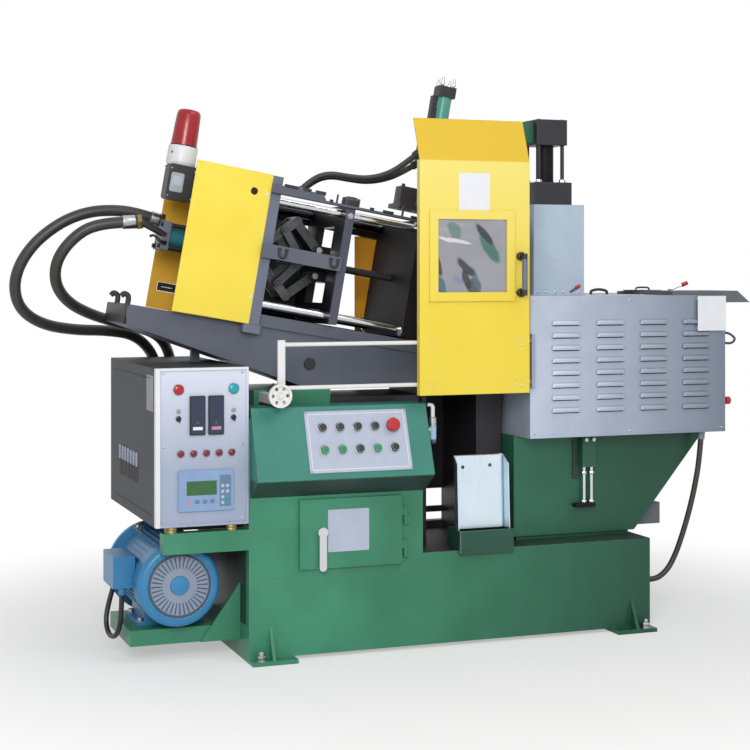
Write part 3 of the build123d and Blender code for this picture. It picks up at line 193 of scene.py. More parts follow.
def turned(profile, start, way, count=28):
    """Point = start + d * way + r * (cos t * side + sin t * other) for each (d, r) of the profile."""
    way = np.array(way, float)
    way /= np.linalg.norm(way)
    side = np.cross(way, up if abs(way[2]) < 0.9 else (1, 0, 0))
    side /= np.linalg.norm(side)
    along, radius = np.array(profile, float).T[:, :, None, None]
    return loft(np.array(start, float) + along * way + radius * circle(side, np.cross(way, side), count))


def rod(start, end, radius, bevel=0.8, count=20):
    """Round bar from start to end with bevelled ends."""
    way = np.array(end, float) - start
    length = np.linalg.norm(way)
    profile = [(0, radius - bevel), (bevel, radius), (length - bevel, radius), (length, radius - bevel)]
    return turned(profile, start, way, count)


def bent_bar(points, radius, count=10, steps=8):
    """Circle of a radius carried along a Catmull-Rom line p(t) through the points."""
    p = np.array(points, float)
    p = np.vstack([2 * p[0] - p[1], p, 2 * p[-1] - p[-2]])
    t = np.linspace(0, 1, steps, endpoint=False)[:, None]
    a, b, c, d = p[:-3, None], p[1:-2, None], p[2:-1, None], p[3:, None]
    line = 0.5 * (2 * b + (c - a) * t + (2 * a - 5 * b + 4 * c - d) * t**2 + (3 * b - a - 3 * c + d) * t**3)
    line = np.vstack([line.reshape(-1, 3), p[-2]])
    way = np.gradient(line, axis=0)
    way /= np.linalg.norm(way, axis=1)[:, None]
    flat = np.linalg.svd(line - line.mean(0))[2][2]
    side = np.cross(way, flat + 0.01)
    side /= np.linalg.norm(side, axis=1)[:, None]
    return loft(line[:, None] + radius * circle(side[:, None], np.cross(way, side)[:, None], count))


def bolts(places, way, across, height):
    """Hexagon heads on washers, each a turned part: the washer with 18 sides, the head with 6."""
    r = across / 2 / cos(pi / 6)
    washer = [(0, 0.95 * across), (1.0, 0.95 * across), (1.3, 0.9 * across)]
    head = [(1.2, r), (height - 0.8, r), (height, 0.86 * r)]
    return [turned(part, place, way, n) for place in places for part, n in ((washer, 18), (head, 6))]


def screw(place, way, radius=4.0, height=2.4):
    """Low domed head: radius falls as the square root of one minus the height squared."""
    rise = np.linspace(0, 1, 5)
    return turned(np.column_stack([height * rise, radius * np.sqrt(1.02 - rise**2)]), place, way, 14)


def prism(outline, y0, y1):
    """An outline of (x, z) points carried from y0 to y1."""
    return loft(np.array([[(x, y, z) for x, z in outline] for y in (y0, y1)], float))


# %% [markdown]
# ## Two leaning frames
# The clamp unit lies ten degrees down towards the die, and the console's face leans back. A shape
# for either is drawn upright first, in the unit's own axes, and then turned to its place.

# %% Clamp frame and console frame
tilt = radians(10)
clamp_axes = np.array([(cos(tilt), 0, -sin(tilt)), (0, 1, 0), (sin(tilt), 0, cos(tilt))])
clamp_frame = (np.array([87, 300, 1182]), clamp_axes)
slope = np.array([0, 75, 203]) / np.hypot(75, 203)
console_axes = np.array([(1, 0, 0), slope, np.cross((1, 0, 0), slope)])
console_frame = (np.array([0, -80, 527]), console_axes)


def within(leaning_frame, groups):
    """Point = origin + its three numbers times the frame's axes, for the shapes of every group."""
    origin, axes = leaning_frame
    return {
        finish: [(origin + points @ axes, faces) for points, faces in shapes]
        for finish, shapes in groups.items()
    }


print("clamp axes", clamp_axes.round(3).tolist())

# %% [markdown]
# ## Nodes and colours
# A material is a small network. One helper adds any node, sets its values and links its inputs.
# Colours are picked as sRGB hex values, as they look on screen, and turned to linear light. A
# blend of two colours is a Mix node of type RGBA: input 0 is the share, inputs 6 and 7 are the
# colours, and output 2 is the result.

# %% Colour helper and node helper
rgba = {"data_type": "RGBA"}


def linear(colour):
    """Each channel c of an sRGB hex value becomes c / 12.92 or ((c + 0.055) / 1.055) ** 2.4."""
    channels = [int(colour[i : i + 2], 16) / 255 for i in (1, 3, 5)]
    return [c / 12.92 if c <= 0.04045 else ((c + 0.055) / 1.055) ** 2.4 for c in channels] + [1]


def add(tree, kind, values=None):
    """Adds a node. A socket, or a node for its first output, is linked; other values are set."""
    node = tree.nodes.new("ShaderNode" + kind)
    for key, value in (values or {}).items():
        if isinstance(value, bpy.types.Node):
            value = value.outputs[0]
        if isinstance(value, bpy.types.NodeSocket):
            tree.links.new(value, node.inputs[key])
        elif isinstance(key, str) and hasattr(node, key):
            setattr(node, key, value)
        else:
            node.inputs[key].default_value = linear(value) if isinstance(value, str) else value
    return node


def new_material(name):
    """A material, its node tree and the socket that gives the place on the object in metres."""
    material = bpy.data.materials.new(name)
    material.use_nodes = True
    material.node_tree.nodes.clear()
    return material, material.node_tree, add(material.node_tree, "TexCoord").outputs["Object"]


def shift_along(tree, place, colour, changes):
    """Per change (axis, start, end, hex): the share of hex grows from 0 at start to 1 at end, mm."""
    if not changes:
        return colour
    parts = add(tree, "SeparateXYZ", {0: place})
    for axis, start, end, other in changes:
        low, high = (np.array([start, end]) + corner["XYZ".index(axis)]) / 1000
        span = {"Value": parts.outputs[axis], "From Min": low, "From Max": high}
        share = add(tree, "MapRange", span)
        colour = add(tree, "Mix", rgba | {0: share, 6: colour, 7: other}).outputs[2]
    return colour


def end_surface(tree, colour, roughness, bump, shader):
    """Roughness (noise, low, high) follows its noise; bump and shader hold their nodes' values."""
    noise, low, high = roughness
    gloss = add(tree, "MapRange", {"Value": noise, "To Min": low, "To Max": high})
    normal = add(tree, "Bump", bump)
    values = {"Base Color": colour, "Roughness": gloss, "Normal": normal}
    surface = add(tree, "BsdfPrincipled", values | shader)
    add(tree, "OutputMaterial", {"Surface": surface})


# %% [markdown]
# ## Machine paint
# The bed, platens and covers are steel with an air-dried or baked enamel. Such paint has a faint
# orange peel, slow changes of shade where it is thicker and dust in places. Its edges are lighter:
# partly rubbed wear and partly a painted highlight. The Bevel node rounds the sharp CAD edges in
# the shading alone and also tells where an edge is, since there its normal differs from the flat one.
#
# The sliding door is one folded sheet. Its fold leans back, so above the fold a painted shade,
# deeper and more golden, is laid over the finished paint. Below the fold the yellow pales towards
# the top, as painted light.


# %% Enamel on steel
def enamel(name, colour, shade, edge_wear_and_highlight, roughness=0.38, wear_and_highlight_share=0.55, along=(), over=(), sheen=0.4):
    """Paint: colour drifts to shade over 160 mm, edges show wear and a painted highlight, 1.6 mm orange
    peel.
    """
    material, tree, place = new_material(name)
    drift = add(tree, "TexNoise", {"Vector": place, "Scale": 6.2, "Detail": 3.0})
    peel = add(tree, "TexNoise", {"Vector": place, "Scale": 620.0, "Detail": 1.0})
    specks = add(tree, "TexNoise", {"Vector": place, "Scale": 90.0, "Detail": 4.0})
    drifting = {"Value": drift, "From Min": 0.35, "From Max": 0.72, "To Max": 0.8}
    share = add(tree, "MapRange", drifting)
    base = add(tree, "Mix", rgba | {0: share, 6: colour, 7: shade}).outputs[2]
    base = shift_along(tree, place, base, along)
    rounded = add(tree, "Bevel", {"samples": 4, "Radius": 0.0022})
    flat = add(tree, "NewGeometry").outputs["True Normal"]
    match = add(tree, "VectorMath", {"operation": "DOT_PRODUCT", 0: rounded, 1: flat})
    turning = {"Value": match.outputs["Value"], "From Min": 0.985, "From Max": 0.87}
    on_edge = add(tree, "MapRange", turning)
    patchy_span = {"Value": specks, "From Min": 0.42, "From Max": 0.62, "To Max": wear_and_highlight_share}
    patchy_edge = add(tree, "MapRange", patchy_span)
    # share of the edge colour: partly rubbed wear, partly a painted highlight on edges
    wear_and_highlight_mask = add(tree, "Math", {"operation": "MULTIPLY", 0: on_edge, 1: patchy_edge})
    painted = add(tree, "Mix", rgba | {0: wear_and_highlight_mask, 6: base, 7: edge_wear_and_highlight}).outputs[2]
    painted = shift_along(tree, place, painted, over)
    bump = {"Height": peel, "Normal": rounded, "Strength": 0.10, "Distance": 0.0004}
    shader = {"IOR": 1.5, "Specular IOR Level": sheen}
    end_surface(tree, painted, (specks, roughness - 0.07, roughness + 0.1), bump, shader)
    return material


finishes = {
    # the green darkens along X towards the furnace end: painted shade where the light falls off
    "bed_green": enamel(
        "alkyd_enamel_green", "#3f8a6c", "#327759", "#8fb8a4", along=[("X", 260, 1320, "#1b4b37")]
    ),
    "tray_green": enamel("alkyd_enamel_dark_green", "#255042", "#1d4336", "#6c9484"),
    # below Z 523 the console turns dark: painted shade on its underside
    "console_green": enamel(
        "alkyd_enamel_sea_green", "#3a8275", "#327567", "#9cc4b9", along=[("Z", 530, 523, "#2c3f3a")]
    ),
    "platen_grey": enamel("enamel_slate_grey", "#6c7283", "#5d6274", "#a2a5b2"),
    # more than 4 to 14 mm behind its front face the plate turns near black: painted shade between the
    # plates
    "toggle_grey": enamel(
        "enamel_slate_grey_oiled_with_painted_shade", "#525562", "#474a58", "#85889a",
        along=[("Y", 124, 134, "#1c1a1e")], sheen=0.2,
    ),
    "iron_black": enamel("enamel_iron_black", "#2b292e", "#222024", "#5a5860", 0.45),
    # near black for oily steel, and painted shade on pieces that stand for dark gaps
    "black_oil_and_shade": enamel("enamel_black_oil_and_painted_shade", "#1f1d20", "#171518", "#3c3a40", 0.5, sheen=0.12),
    "beam_grey": enamel("enamel_dark_slate", "#5a5f6c", "#4c505c", "#8f929c", 0.48),
    # brown-black for the lamp's bracket; on the deck it is painted shade under the clamp unit
    "brown_black_and_shade": enamel("enamel_brown_black_and_painted_shade", "#2f2726", "#221d1e", "#5c5250", 0.5),
    # green-black painted shade on the deck below the furnace housing
    "deck_grey": enamel("enamel_green_black_painted_shade", "#274439", "#20332c", "#5f7a70", 0.55),
    # towards the back the yellow turns ochre: painted shade on the cover's far panel
    "guard_yellow": enamel(
        "powder_coat_yellow", "#efd94f", "#ead044", "#f8eea6", 0.36, 0.3,
        along=[("Y", 330, 440, "#e9b138")],
    ),
    # door: paler towards the top as painted light, deeper gold above the fold as painted shade
    "door_yellow": enamel(
        "powder_coat_yellow_door", "#ead24a", "#e6cb3a", "#f8eea6", 0.36, 0.3,
        along=[("Z", 1000, 1440, "#eedd78")], over=[("Z", 1448.5, 1451.5, "#dcb60c")],
    ),
    # the rear guard's orange is its yellow in painted shade
    "rear_yellow": enamel("powder_coat_yellow_in_painted_shade", "#eda428", "#dc9420", "#f0c878", 0.4),
    # the cabinet body's dark grey is painted shade on its sides
    "cabinet_dark": enamel("textured_powder_coat_grey_painted_shade", "#3f4147", "#36383e", "#74767d", 0.55, sheen=0.25),
    # the pale front grows paler towards the top: painted light
    "cabinet_pale": enamel(
        "powder_coat_lilac_grey", "#a2acc0", "#98a2ba", "#d0d6e2", 0.42,
        along=[("Z", 560, 850, "#d3d9e8")],
    ),
    "rail_white": enamel(
        "enamel_white", "#e8e6e6", "#dad8d8", "#c8c6c4", 0.36, along=[("X", 862, 870, "#98a1b4")]
    ),
    "motor_blue": enamel("enamel_motor_blue", "#3a84b4", "#2f74a2", "#8db9d2", 0.34),
    "grille_grey": enamel("enamel_lilac_grey", "#8b97aa", "#7c889c", "#aeb6c4", 0.4),
    "grille_shade": enamel("enamel_motor_blue_shaded", "#41586d", "#364a5d", "#6f8598", 0.5),
    "cylinder_teal": enamel(
        "enamel_teal", "#2f7f8a", "#276c76", "#79a7ae", 0.32, along=[("X", -168, -174, "#26262b")]
    ),
    "cylinder_green": enamel("enamel_sea_green_light", "#4fa08e", "#418d7c", "#a0cabd", 0.25),
    "cylinder_black": enamel("enamel_charcoal", "#2e2e34", "#26262b", "#5d5d66", 0.42),
    "guard_green": enamel("enamel_bottle_green", "#1f3d33", "#182c27", "#4c6a5f", 0.45),
}
print(len(finishes), "paints")

# %% [markdown]
# ## Bare and plated metal
# The furnace covers are sheet steel sprayed with aluminium paint, the chute is stainless sheet
# with the mill's fine grain, the tie bars are ground and hard-chromed, and links and bolts are
# plain steel with a film of oil.


# %% Metals
def metal(name, colour, streak, roughness, grain, grit=0.05, metallic=1.0, along=()):
    """Metal whose roughness and shade follow noise stretched by grain, as drawn or ground steel."""
    material, tree, place = new_material(name)
    stretched = add(tree, "Mapping", {"Vector": place, "Scale": grain})
    lines = add(tree, "TexNoise", {"Vector": stretched, "Scale": 1.0, "Detail": 5.0})
    clouds = add(tree, "TexNoise", {"Vector": place, "Scale": 14.0, "Detail": 3.0})
    shade = add(tree, "Math", {"operation": "MULTIPLY", 0: lines, 1: clouds})
    share = add(tree, "MapRange", {"Value": shade, "From Min": 0.12, "From Max": 0.42})
    base = add(tree, "Mix", rgba | {0: share, 6: colour, 7: streak}).outputs[2]
    base = shift_along(tree, place, base, along)
    rounded = add(tree, "Bevel", {"samples": 4, "Radius": 0.0015})
    bump = {"Height": lines, "Normal": rounded, "Strength": 0.06, "Distance": 0.0003}
    rough = (lines, max(0.02, roughness - grit), roughness + grit)
    end_surface(tree, base, rough, bump, {"Metallic": metallic})
    return material


finishes |= {
    # the silver darkens towards the right of the furnace cover: painted shade where the light falls off
    "sheet_silver": metal(
        "aluminium_paint_on_sheet", "#c0cadb", "#b2bccf", 0.42, (5, 5, 5), 0.04, 0.35,
        along=[("X", 900, 1580, "#76808f")],
    ),
    "sheet_dark": metal("sooted_aluminium_paint", "#6c7077", "#5d6168", 0.5, (5, 5, 5), 0.04, 0.3),
    "sheet_pale": metal("pale_aluminium_paint", "#b4c3d2", "#a6b6c6", 0.45, (5, 5, 5), 0.04, 0.25),
    "stainless": metal("stainless_sheet", "#dceaf2", "#cddde8", 0.33, (400, 30, 14)),
    # towards the back the chrome turns near black: painted shade, with some grease, on the far tie bars
    "chrome": metal(
        "hard_chrome_on_steel", "#dcdce0", "#c9c9ce", 0.12, (700, 30, 30), 0.03,
        along=[("Y", 340, 420, "#232126")],
    ),
    "steel": metal("oiled_machined_steel", "#5c5c60", "#37363a", 0.33, (220, 220, 220), 0.09),
    "zinc": metal("zinc_plated_steel", "#c2c3c4", "#a3a5a6", 0.3, (120, 120, 120), 0.08),
    "brass": metal("tarnished_brass", "#9c8a58", "#7b6b40", 0.4, (160, 160, 160), 0.08),
    "cast_iron": metal("cast_iron", "#55575b", "#3d3f43", 0.55, (160, 160, 160), 0.1, 0.6),
}
print(len(finishes), "paints and metals")


# %% Plastics and rubber
def plastic(name, colour, shade, roughness=0.4, grain=260.0, bump_depth=0.0002):
    """Moulded plastic or rubber: a slight change of shade and bumps about 1000 / grain mm wide."""
    material, tree, place = new_material(name)
    slow = add(tree, "TexNoise", {"Vector": place, "Scale": 30.0, "Detail": 2.0})
    fine = add(tree, "TexNoise", {"Vector": place, "Scale": grain, "Detail": 2.0})
    base = add(tree, "Mix", rgba | {0: slow, 6: colour, 7: shade}).outputs[2]
    bump = {"Height": fine, "Strength": 0.25, "Distance": bump_depth}
    end_surface(tree, base, (fine, roughness - 0.06, roughness + 0.06), bump, {"IOR": 1.5})
    return material


finishes |= {
    "hose": plastic("nitrile_rubber_hose", "#3a3733", "#2b2926", 0.42, 500.0, 0.0004),
    "cable": plastic("pvc_cable_sheath", "#26262a", "#1b1b1e", 0.4),
    "black": plastic("abs_black", "#1d1d20", "#141416", 0.38),
    "red": plastic("polycarbonate_red", "#c01a1e", "#a51418", 0.22, 60.0),
    "beacon_red": plastic("acrylic_red", "#a81420", "#901018", 0.27, 60.0),
    "white": plastic("abs_white", "#e4e6e8", "#d8dadd", 0.4),
    "green": plastic("push_button_green", "#17905c", "#127a4c", 0.25, 60.0),
    "dark_red": plastic("push_button_dark_red", "#82182c", "#6c1224", 0.25, 60.0),
    "cyan": plastic("push_button_cyan", "#12aab8", "#0e95a4", 0.22, 60.0),
    "pink": plastic("key_pink", "#c88ca4", "#b87c94", 0.35, 60.0),
    "amber": plastic("lamp_amber", "#d08040", "#bc6e34", 0.25, 60.0),
    "meter_blue": plastic("meter_window_blue", "#28374f", "#202c42", 0.2, 60.0),
    "screen_blue": plastic("membrane_pale_blue", "#8aa4c8", "#7d97bd", 0.35, 60.0),
    "keypad_blue": plastic("membrane_slate_blue", "#66839f", "#597592", 0.35, 60.0),
    "lcd_green": plastic("liquid_crystal_green", "#35693a", "#2a592f", 0.18, 30.0),
    "panel": plastic("printed_aluminium_panel", "#b7bfd0", "#aab3c6", 0.4),
    "bowl": plastic("polycarbonate_bowl", "#a9c0d6", "#93acc6", 0.2, 60.0),
    "bowl_base": plastic("nylon_dark_blue", "#2a3f66", "#223456", 0.35, 60.0),
    "label": plastic("vinyl_label", "#e9eaee", "#dfe0e6", 0.4),
    "side_label": plastic("vinyl_label_grey", "#8d8d98", "#80808c", 0.45),
    "gauge_face": plastic("gauge_face_grey", "#aab0ba", "#9ba1ac", 0.3, 60.0),
}

# %% [markdown]
# ## Window of the door
# The window is smeared acrylic. What is seen through it and reflected in it is painted into the
# glass as a pattern of painted reflections and the view through. Each patch is an ellipse: where
# the place, shaken a little by noise and measured in the ellipse's half axes, is less than one away
# from the centre.

# %% Glass of the door window
finishes["glass"], tree, place = new_material("acrylic_window")
smears_and_reflections = add(tree, "TexNoise", {"Vector": place, "Scale": 9.0, "Detail": 4.0})
smear_rough = add(tree, "MapRange", {"Value": smears_and_reflections, "To Min": 0.02, "To Max": 0.12})
# milky tint; its smeared light and dark patches are painted reflection as well as smears
tint_and_painted_reflections = add(tree, "Mix", rgba | {0: smears_and_reflections, 6: "#a3a3ad", 7: "#bfbfc9"}).outputs[2]
waves = add(tree, "TexNoise", {"Vector": place, "Scale": 22.0, "Detail": 3.0})
shake = {"operation": "MULTIPLY_ADD", 0: waves.outputs["Color"], 1: (0.013, 0, 0.013), 2: place}
shaken = add(tree, "VectorMath", shake)
# painted reflections and view through: x, z, half width, half height, turn, colour, most
painted_reflections_and_view = [
    (618, 1250, 20, 31, -32, "#6f9489", 0.85),
    (732, 1198, 19, 54, -34, "#528675", 0.95),
    (716, 1238, 12, 42, -44, "#454650", 0.95),
    (680, 1084, 24, 26, -20, "#55665f", 0.9),
    (656, 1106, 11, 34, -18, "#434a48", 0.9),
    (686, 1104, 9, 42, -20, "#6d8196", 0.85),
    (654, 1140, 13, 38, -48, "#4a4c57", 0.95),
    (566, 1146, 11, 34, -14, "#4a4a40", 0.9),
    (574, 1086, 15, 30, -22, "#4d7896", 0.85),
    (630, 1102, 22, 9, 28, "#8f97cc", 0.6),
    (617, 1219, 58, 6, 10, "#f2f0f2", 1.0),
]
for x, z, half_wide, half_high, turn, colour, most in painted_reflections_and_view:
    ellipse = {
        "vector_type": "TEXTURE",
        "Vector": shaken,
        "Location": tuple(metres([x, -60, z])),
        "Rotation": (0, radians(turn), 0),
        "Scale": (half_wide / 1000, 10, half_high / 1000),
    }
    centred = add(tree, "Mapping", ellipse)
    away = add(tree, "VectorMath", {"operation": "LENGTH", 0: centred}).outputs["Value"]
    inside = add(tree, "MapRange", {"Value": away, "From Min": 1.1, "From Max": 0.8, "To Max": most})
    tint_and_painted_reflections = add(tree, "Mix", rgba | {0: inside, 6: tint_and_painted_reflections, 7: colour}).outputs[2]
acrylic = {"Base Color": tint_and_painted_reflections, "Roughness": smear_rough, "IOR": 1.45, "Transmission Weight": 0.35}
add(tree, "OutputMaterial", {"Surface": add(tree, "BsdfPrincipled", acrylic)})
print(len(finishes), "finishes,", len(painted_reflections_and_view), "stains in the glass")

# %% Finish of each solid
solid_finish = {
    "bed_green": "bed_base bed_cabinet bed_door cabinet_shelf motor_base furnace_housing",
    "tray_green": "catch_tray",
    "console_green": "console_box",
    "platen_grey": "rear_platen hose_bracket",
    "toggle_grey": "toggle_plate",
    "iron_black": "fixed_platen platen_stand gauge_box",
    # moving platen and far side bar near black: partly oil, partly painted shade between the plates
    "black_oil_and_shade": "moving_platen far_side_bar",
    "beam_grey": "clamp_base side_bars",
    "guard_green": "toggle_guard",
    "guard_yellow": "clamp_cover",
    "rear_yellow": "rear_guard",
    "cabinet_dark": "cabinet_body",
    "cabinet_pale": "cabinet_front",
    "rail_white": "guard_rails rail_wheel",
    "motor_blue": "motor terminal_box",
    "cast_iron": "hydraulic_pump",
    "cylinder_teal": "closing_cylinder",
    "cylinder_green": "core_cylinder",
    "cylinder_black": "shot_cylinder pot_lid",
    "sheet_silver": "furnace_cover",
    "sheet_dark": "charging_plate",
    "sheet_pale": "shot_cover",
    "stainless": "chute",
    "chrome": "tie_bars crosshead bed_door_lever",
    "steel": "upper_rear_link lower_rear_link upper_front_link lower_front_link "
    "upper_drive_link lower_drive_link",
    "black": "door_handle",
    "red": "emergency_stop",
    "beacon_red": "beacon",
    "panel": "console_panel",
    "bowl": "lubricator",
    "glass": "door_window",
    "door_yellow": "guard_door",
    "hose": "hose_outer hose_inner top_hose_front top_hose_rear furnace_hose",
    "cable": "motor_cable",
}
for finish, solids in solid_finish.items():
    for solid in solids.split():
        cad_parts[solid].data.materials.clear()
        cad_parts[solid].data.materials.append(finishes[finish])
print("painted", sum(len(solids.split()) for solids in solid_finish.values()), "of", len(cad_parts))

# %% [markdown]
# ## Hoses and cable
# A hose is a fixed length of something bendy. Each one here is a smooth curve through the same
# route as its solid in CAD, thickened by the curve's own bevel, from fitting to fitting.

# %% Hoses
middle = 300
hose_routes = {
    "hose_outer": (17, [
        (-212, 35, 1284), (-255, 35, 1297), (-318, 36, 1305), (-402, 38, 1299),
        (-489, 45, 1262), (-572, 60, 1188), (-612, 82, 1096), (-592, 115, 1012),
        (-518, 155, 962), (-408, 210, 942), (-296, 262, 938), (-196, 314, 920),
        (-126, 362, 852), (-106, 380, 752), (-106, 378, 640), (-108, 378, 520),
        (-106, 378, 400), (-106, 378, 290),
    ]),
    "hose_inner": (17, [
        (-311, -35, 1266), (-390, -29, 1262), (-458, -16, 1216), (-500, 5, 1150),
        (-496, 38, 1082), (-450, 82, 1028), (-374, 140, 992), (-286, 205, 966),
        (-196, 266, 946), (-116, 324, 916), (-72, 370, 850), (-62, 381, 752),
        (-62, 378, 640), (-60, 378, 520), (-62, 378, 400), (-62, 378, 290),
    ]),
    "top_hose_front": (9.5, [
        (250, -16, 1376), (287, -16, 1409), (340, -16, 1425), (400, -16, 1416),
        (458, -16, 1411), (515, -16, 1421), (570, -16, 1446), (622, -16, 1486),
    ]),
    "top_hose_rear": (9.5, [
        (262, 16, 1374), (299, 16, 1405), (352, 16, 1420), (411, 16, 1411),
        (469, 16, 1404), (525, 16, 1411), (578, 16, 1428), (628, 16, 1456),
    ]),
    "furnace_hose": (9, [
        (1519, -252, 584), (1515, -250, 524), (1507, -246, 462), (1496, -240, 398),
        (1482, -233, 334), (1466, -225, 272), (1447, -217, 212), (1420, -209, 158),
        (1372, -203, 128), (1322, -199, 140),
    ]),
}
cable_route = [
    (-334, -140, 191), (-335, -140, 147), (-338, -134, 99), (-346, -108, 63),
    (-356, -56, 60), (-359, -27, 95), (-350, -20, 143), (-337, -22, 187),
]


def lay_cord(name, radius, route, material):
    """A NURBS curve with the route's points as control points, y counted from the middle."""
    route = np.array(route, float) + (0, middle, 0)
    curve = bpy.data.curves.new(name + "_run", "CURVE")
    curve.dimensions = "3D"
    curve.bevel_depth = radius / 1000
    curve.bevel_resolution = 6
    curve.resolution_u = 10
    curve.use_fill_caps = True
    spline = curve.splines.new("NURBS")
    spline.points.add(len(route) - 1)
    spline.points.foreach_set("co", np.hstack([metres(route), np.ones((len(route), 1))]).ravel())
    spline.order_u = 3
    spline.use_endpoint_u = True
    curve.materials.append(material)
    cord = new_object(name + "_run", curve)
    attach(cord, "machine")
    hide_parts(name)


def hose_end(name, end, before):
    """Place of a route's end and the direction out of it, seen from the point before."""
    route = np.array(hose_routes[name][1], float) + (0, middle, 0)
    way = route[end] - route[before]
    return route[end], way / np.linalg.norm(way)


for name, (radius, route) in hose_routes.items():
    lay_cord(name, radius, route, finishes["hose"])
lay_cord("motor_cable", 7.5, cable_route, finishes["cable"])

# %% [markdown]
# ## Warning light and gauge
# The light is a moulded lamp: a slightly tapered red acrylic dome on a white ABS base, on a dark
# bent bracket. All of it but the bracket is turned work, so a profile says everything.

# %% Warning light
light_dome = [(0, 39), (3, 39.4), (60, 37.6), (96, 36), (104, 34.4), (109, 31), (111.5, 25), (112, 0.6)]
light_base = [(0, 40), (4, 43.5), (14, 44.6), (54, 44.2), (59, 42.5), (60, 40)]
light_seam = [(58, 40.5), (59, 41.6), (62, 41.6), (63, 40.2)]
foot = (-257, 0, 214)
light = {
    "beacon_red": [turned(light_dome, (-257, 0, 274), up, 40)],
    "white": [turned(light_base, foot, up, 40)],
    "black": [turned(light_seam, foot, up, 40), screw((-294, -24, 250), (-0.85, -0.5, 0), 3.4)],
    "brown_black_and_shade": [
        slab((-292, -188), (-50, 50), (208, 214), 2, 4),
        slab((-200, -188), (-50, 50), (208, 221), 2, 1),
    ],
}
gauge = {
    "gauge_face": [slab((-292, -252), (-62.4, -59), (130, 188), 1, 6)],
    "panel": [slab((-286, -258), (-63, -62), (150, 178), 1, 3, 0.4)],
    "zinc": [screw(place, front, 3) for place in product((-293, -222), [-60], (116, 199))],
}
piece("warning_light", within(clamp_frame, light), replaces="beacon")
piece("gauge_face", within(clamp_frame, gauge))

# %% [markdown]
# ## Cylinders
# A hydraulic cylinder is a painted tube clamped between two blocks by four rods. The blocks, rods
# and hose ends have finishes of their own, so each gets a close-fitting piece over the solid.

# %% Closing cylinder and its fittings
crimps, nuts = [], []
for name, length in (("hose_outer", 40), ("hose_inner", 60)):
    start, way = hose_end(name, 0, 1)
    crimp = [(0, 18.6), (1.5, 20.4), (length * 0.62, 20.4), (length * 0.68, 18), (length, 18)]
    crimps.append(turned(crimp, start - 0.5 * way, way, 24))
    nuts.append(turned([(0, 22), (1, 24.4), (13, 24.4), (14, 22)], start + way * length * 0.7, way, 6))
rod_places = list(product((-33, 33), repeat=2))
closing = {
    "platen_grey": [slab((-285.5, -260.5), (-42.5, 42.5), (-42.5, 42.5), 0, 1, 0.4)],
    "iron_black": [rod((-285.5, y, w), (-36, y, w), 6.4, count=12) for y, w in rod_places],
    "steel": bolts([(-285.4, y, w) for y, w in rod_places], left, 13, 8),
    "black": [
        bent_bar([(-272, -42, -20), (-276, -56, -24), (-290, -62, -22), (-304, -62, -14)], 5),
        bent_bar([(-300, -58, -14), (-312, -56, -8), (-322, -50, -12)], 4),
    ],
}
piece("closing_cylinder_fittings", within(clamp_frame, closing) | {"zinc": crimps, "brass": nuts})

# %% Core cylinder over the die space
top_crimp = [(0, 11), (1, 13.1), (26, 13.1), (28, 12.9), (40.4, 12.9)]
top_ends = []
for name in ("top_hose_front", "top_hose_rear"):
    last, way = hose_end(name, -1, -2)
    top_ends.append(turned(top_crimp, last - 0.4 * way, way, 24))
studs = list(product((529, 567), (-19, 19)))
core = {
    "iron_black": [
        slab((439.5, 780), (-52.5, 52.5), (221, 235.5), 2, 1, 0.4),
        slab((520.5, 575.5), (-27.5, 27.5), (596.5, 631.5), 2, 1, 0.4),
        slab((492.5, 530), (-26.5, 26.5), (365.5, 440.5), 2, 1, 0.4),
        slab((445.5, 500.5), (-26.5, 26.5), (235, 291.5), 2, 1, 0.4),
        slab((506.5, 524), (-12.5, 12.5), (440, 597), 2, 1, 0.4),
        rod((455, -14, 291), (455, -14, 300), 6),
    ],
    "zinc": [rod((u, y, 631), (u, y, 659.02), 4.3, 0.5, 12) for u, y in studs]
    + [turned([(0, 6.6), (8, 6.6)], (u, y, 636), up, 6) for u, y in studs]
    + [screw((u, y, 631.4), up, 7, 3) for u, y in studs]
    + bolts(product((700, 740), (-36, 36), [235.4]), up, 14, 8),
}
piece("core_cylinder_fittings", within(clamp_frame, core) | {"black": top_ends})

# %% Shot cylinder
shot_x, shot_y = 1082, 290
rod_low, rod_high = 1409, 1530
cap_half, foot_half = 54.4, 65.4
shot_rods = [(shot_x + dx, shot_y + dy) for dx, dy in product((-42, 42), repeat=2)]
piece("shot_cylinder_fittings", {
    "black_oil_and_shade": [rod((shot_x, shot_y, rod_low), (shot_x, shot_y, rod_high), 28.4, 0.2, 36)],
    "cylinder_black": [
        slab(around(shot_x, cap_half), around(shot_y, cap_half), (1529.6, 1612.4), 2, 5, 2.5),
        slab(around(shot_x, foot_half), around(shot_y, foot_half), (1335, 1409.4), 2, 5, 2.5),
    ],
    "iron_black": [rod((x, y, rod_low), (x, y, rod_high), 6.4, 0.2, 14) for x, y in shot_rods],
    "bed_green": [slab((983.6, 1028), (259.6, 320.4), (1535.6, 1604.4), 0, 3, 1.5)],
    "zinc": bolts([(x, y, 1409.4) for x, y in shot_rods], up, 18, 10)
    + [screw((x, y, 1612.4), up, 7, 3) for x, y in shot_rods]
    + [screw(place, left, 3.5) for place in product([983.6], (268, 312), (1544, 1596))],
})

# %% [markdown]
# ## Clamp unit
# Between the platens the steel is dark: partly with oil, partly painted shade where little light
# reaches between the plates. What catches the eye is small: the cap on the toggle plate's post,
# U-bolts on the side bar, bumps and cams along the top strip, pin ends, and the black ejector rod.

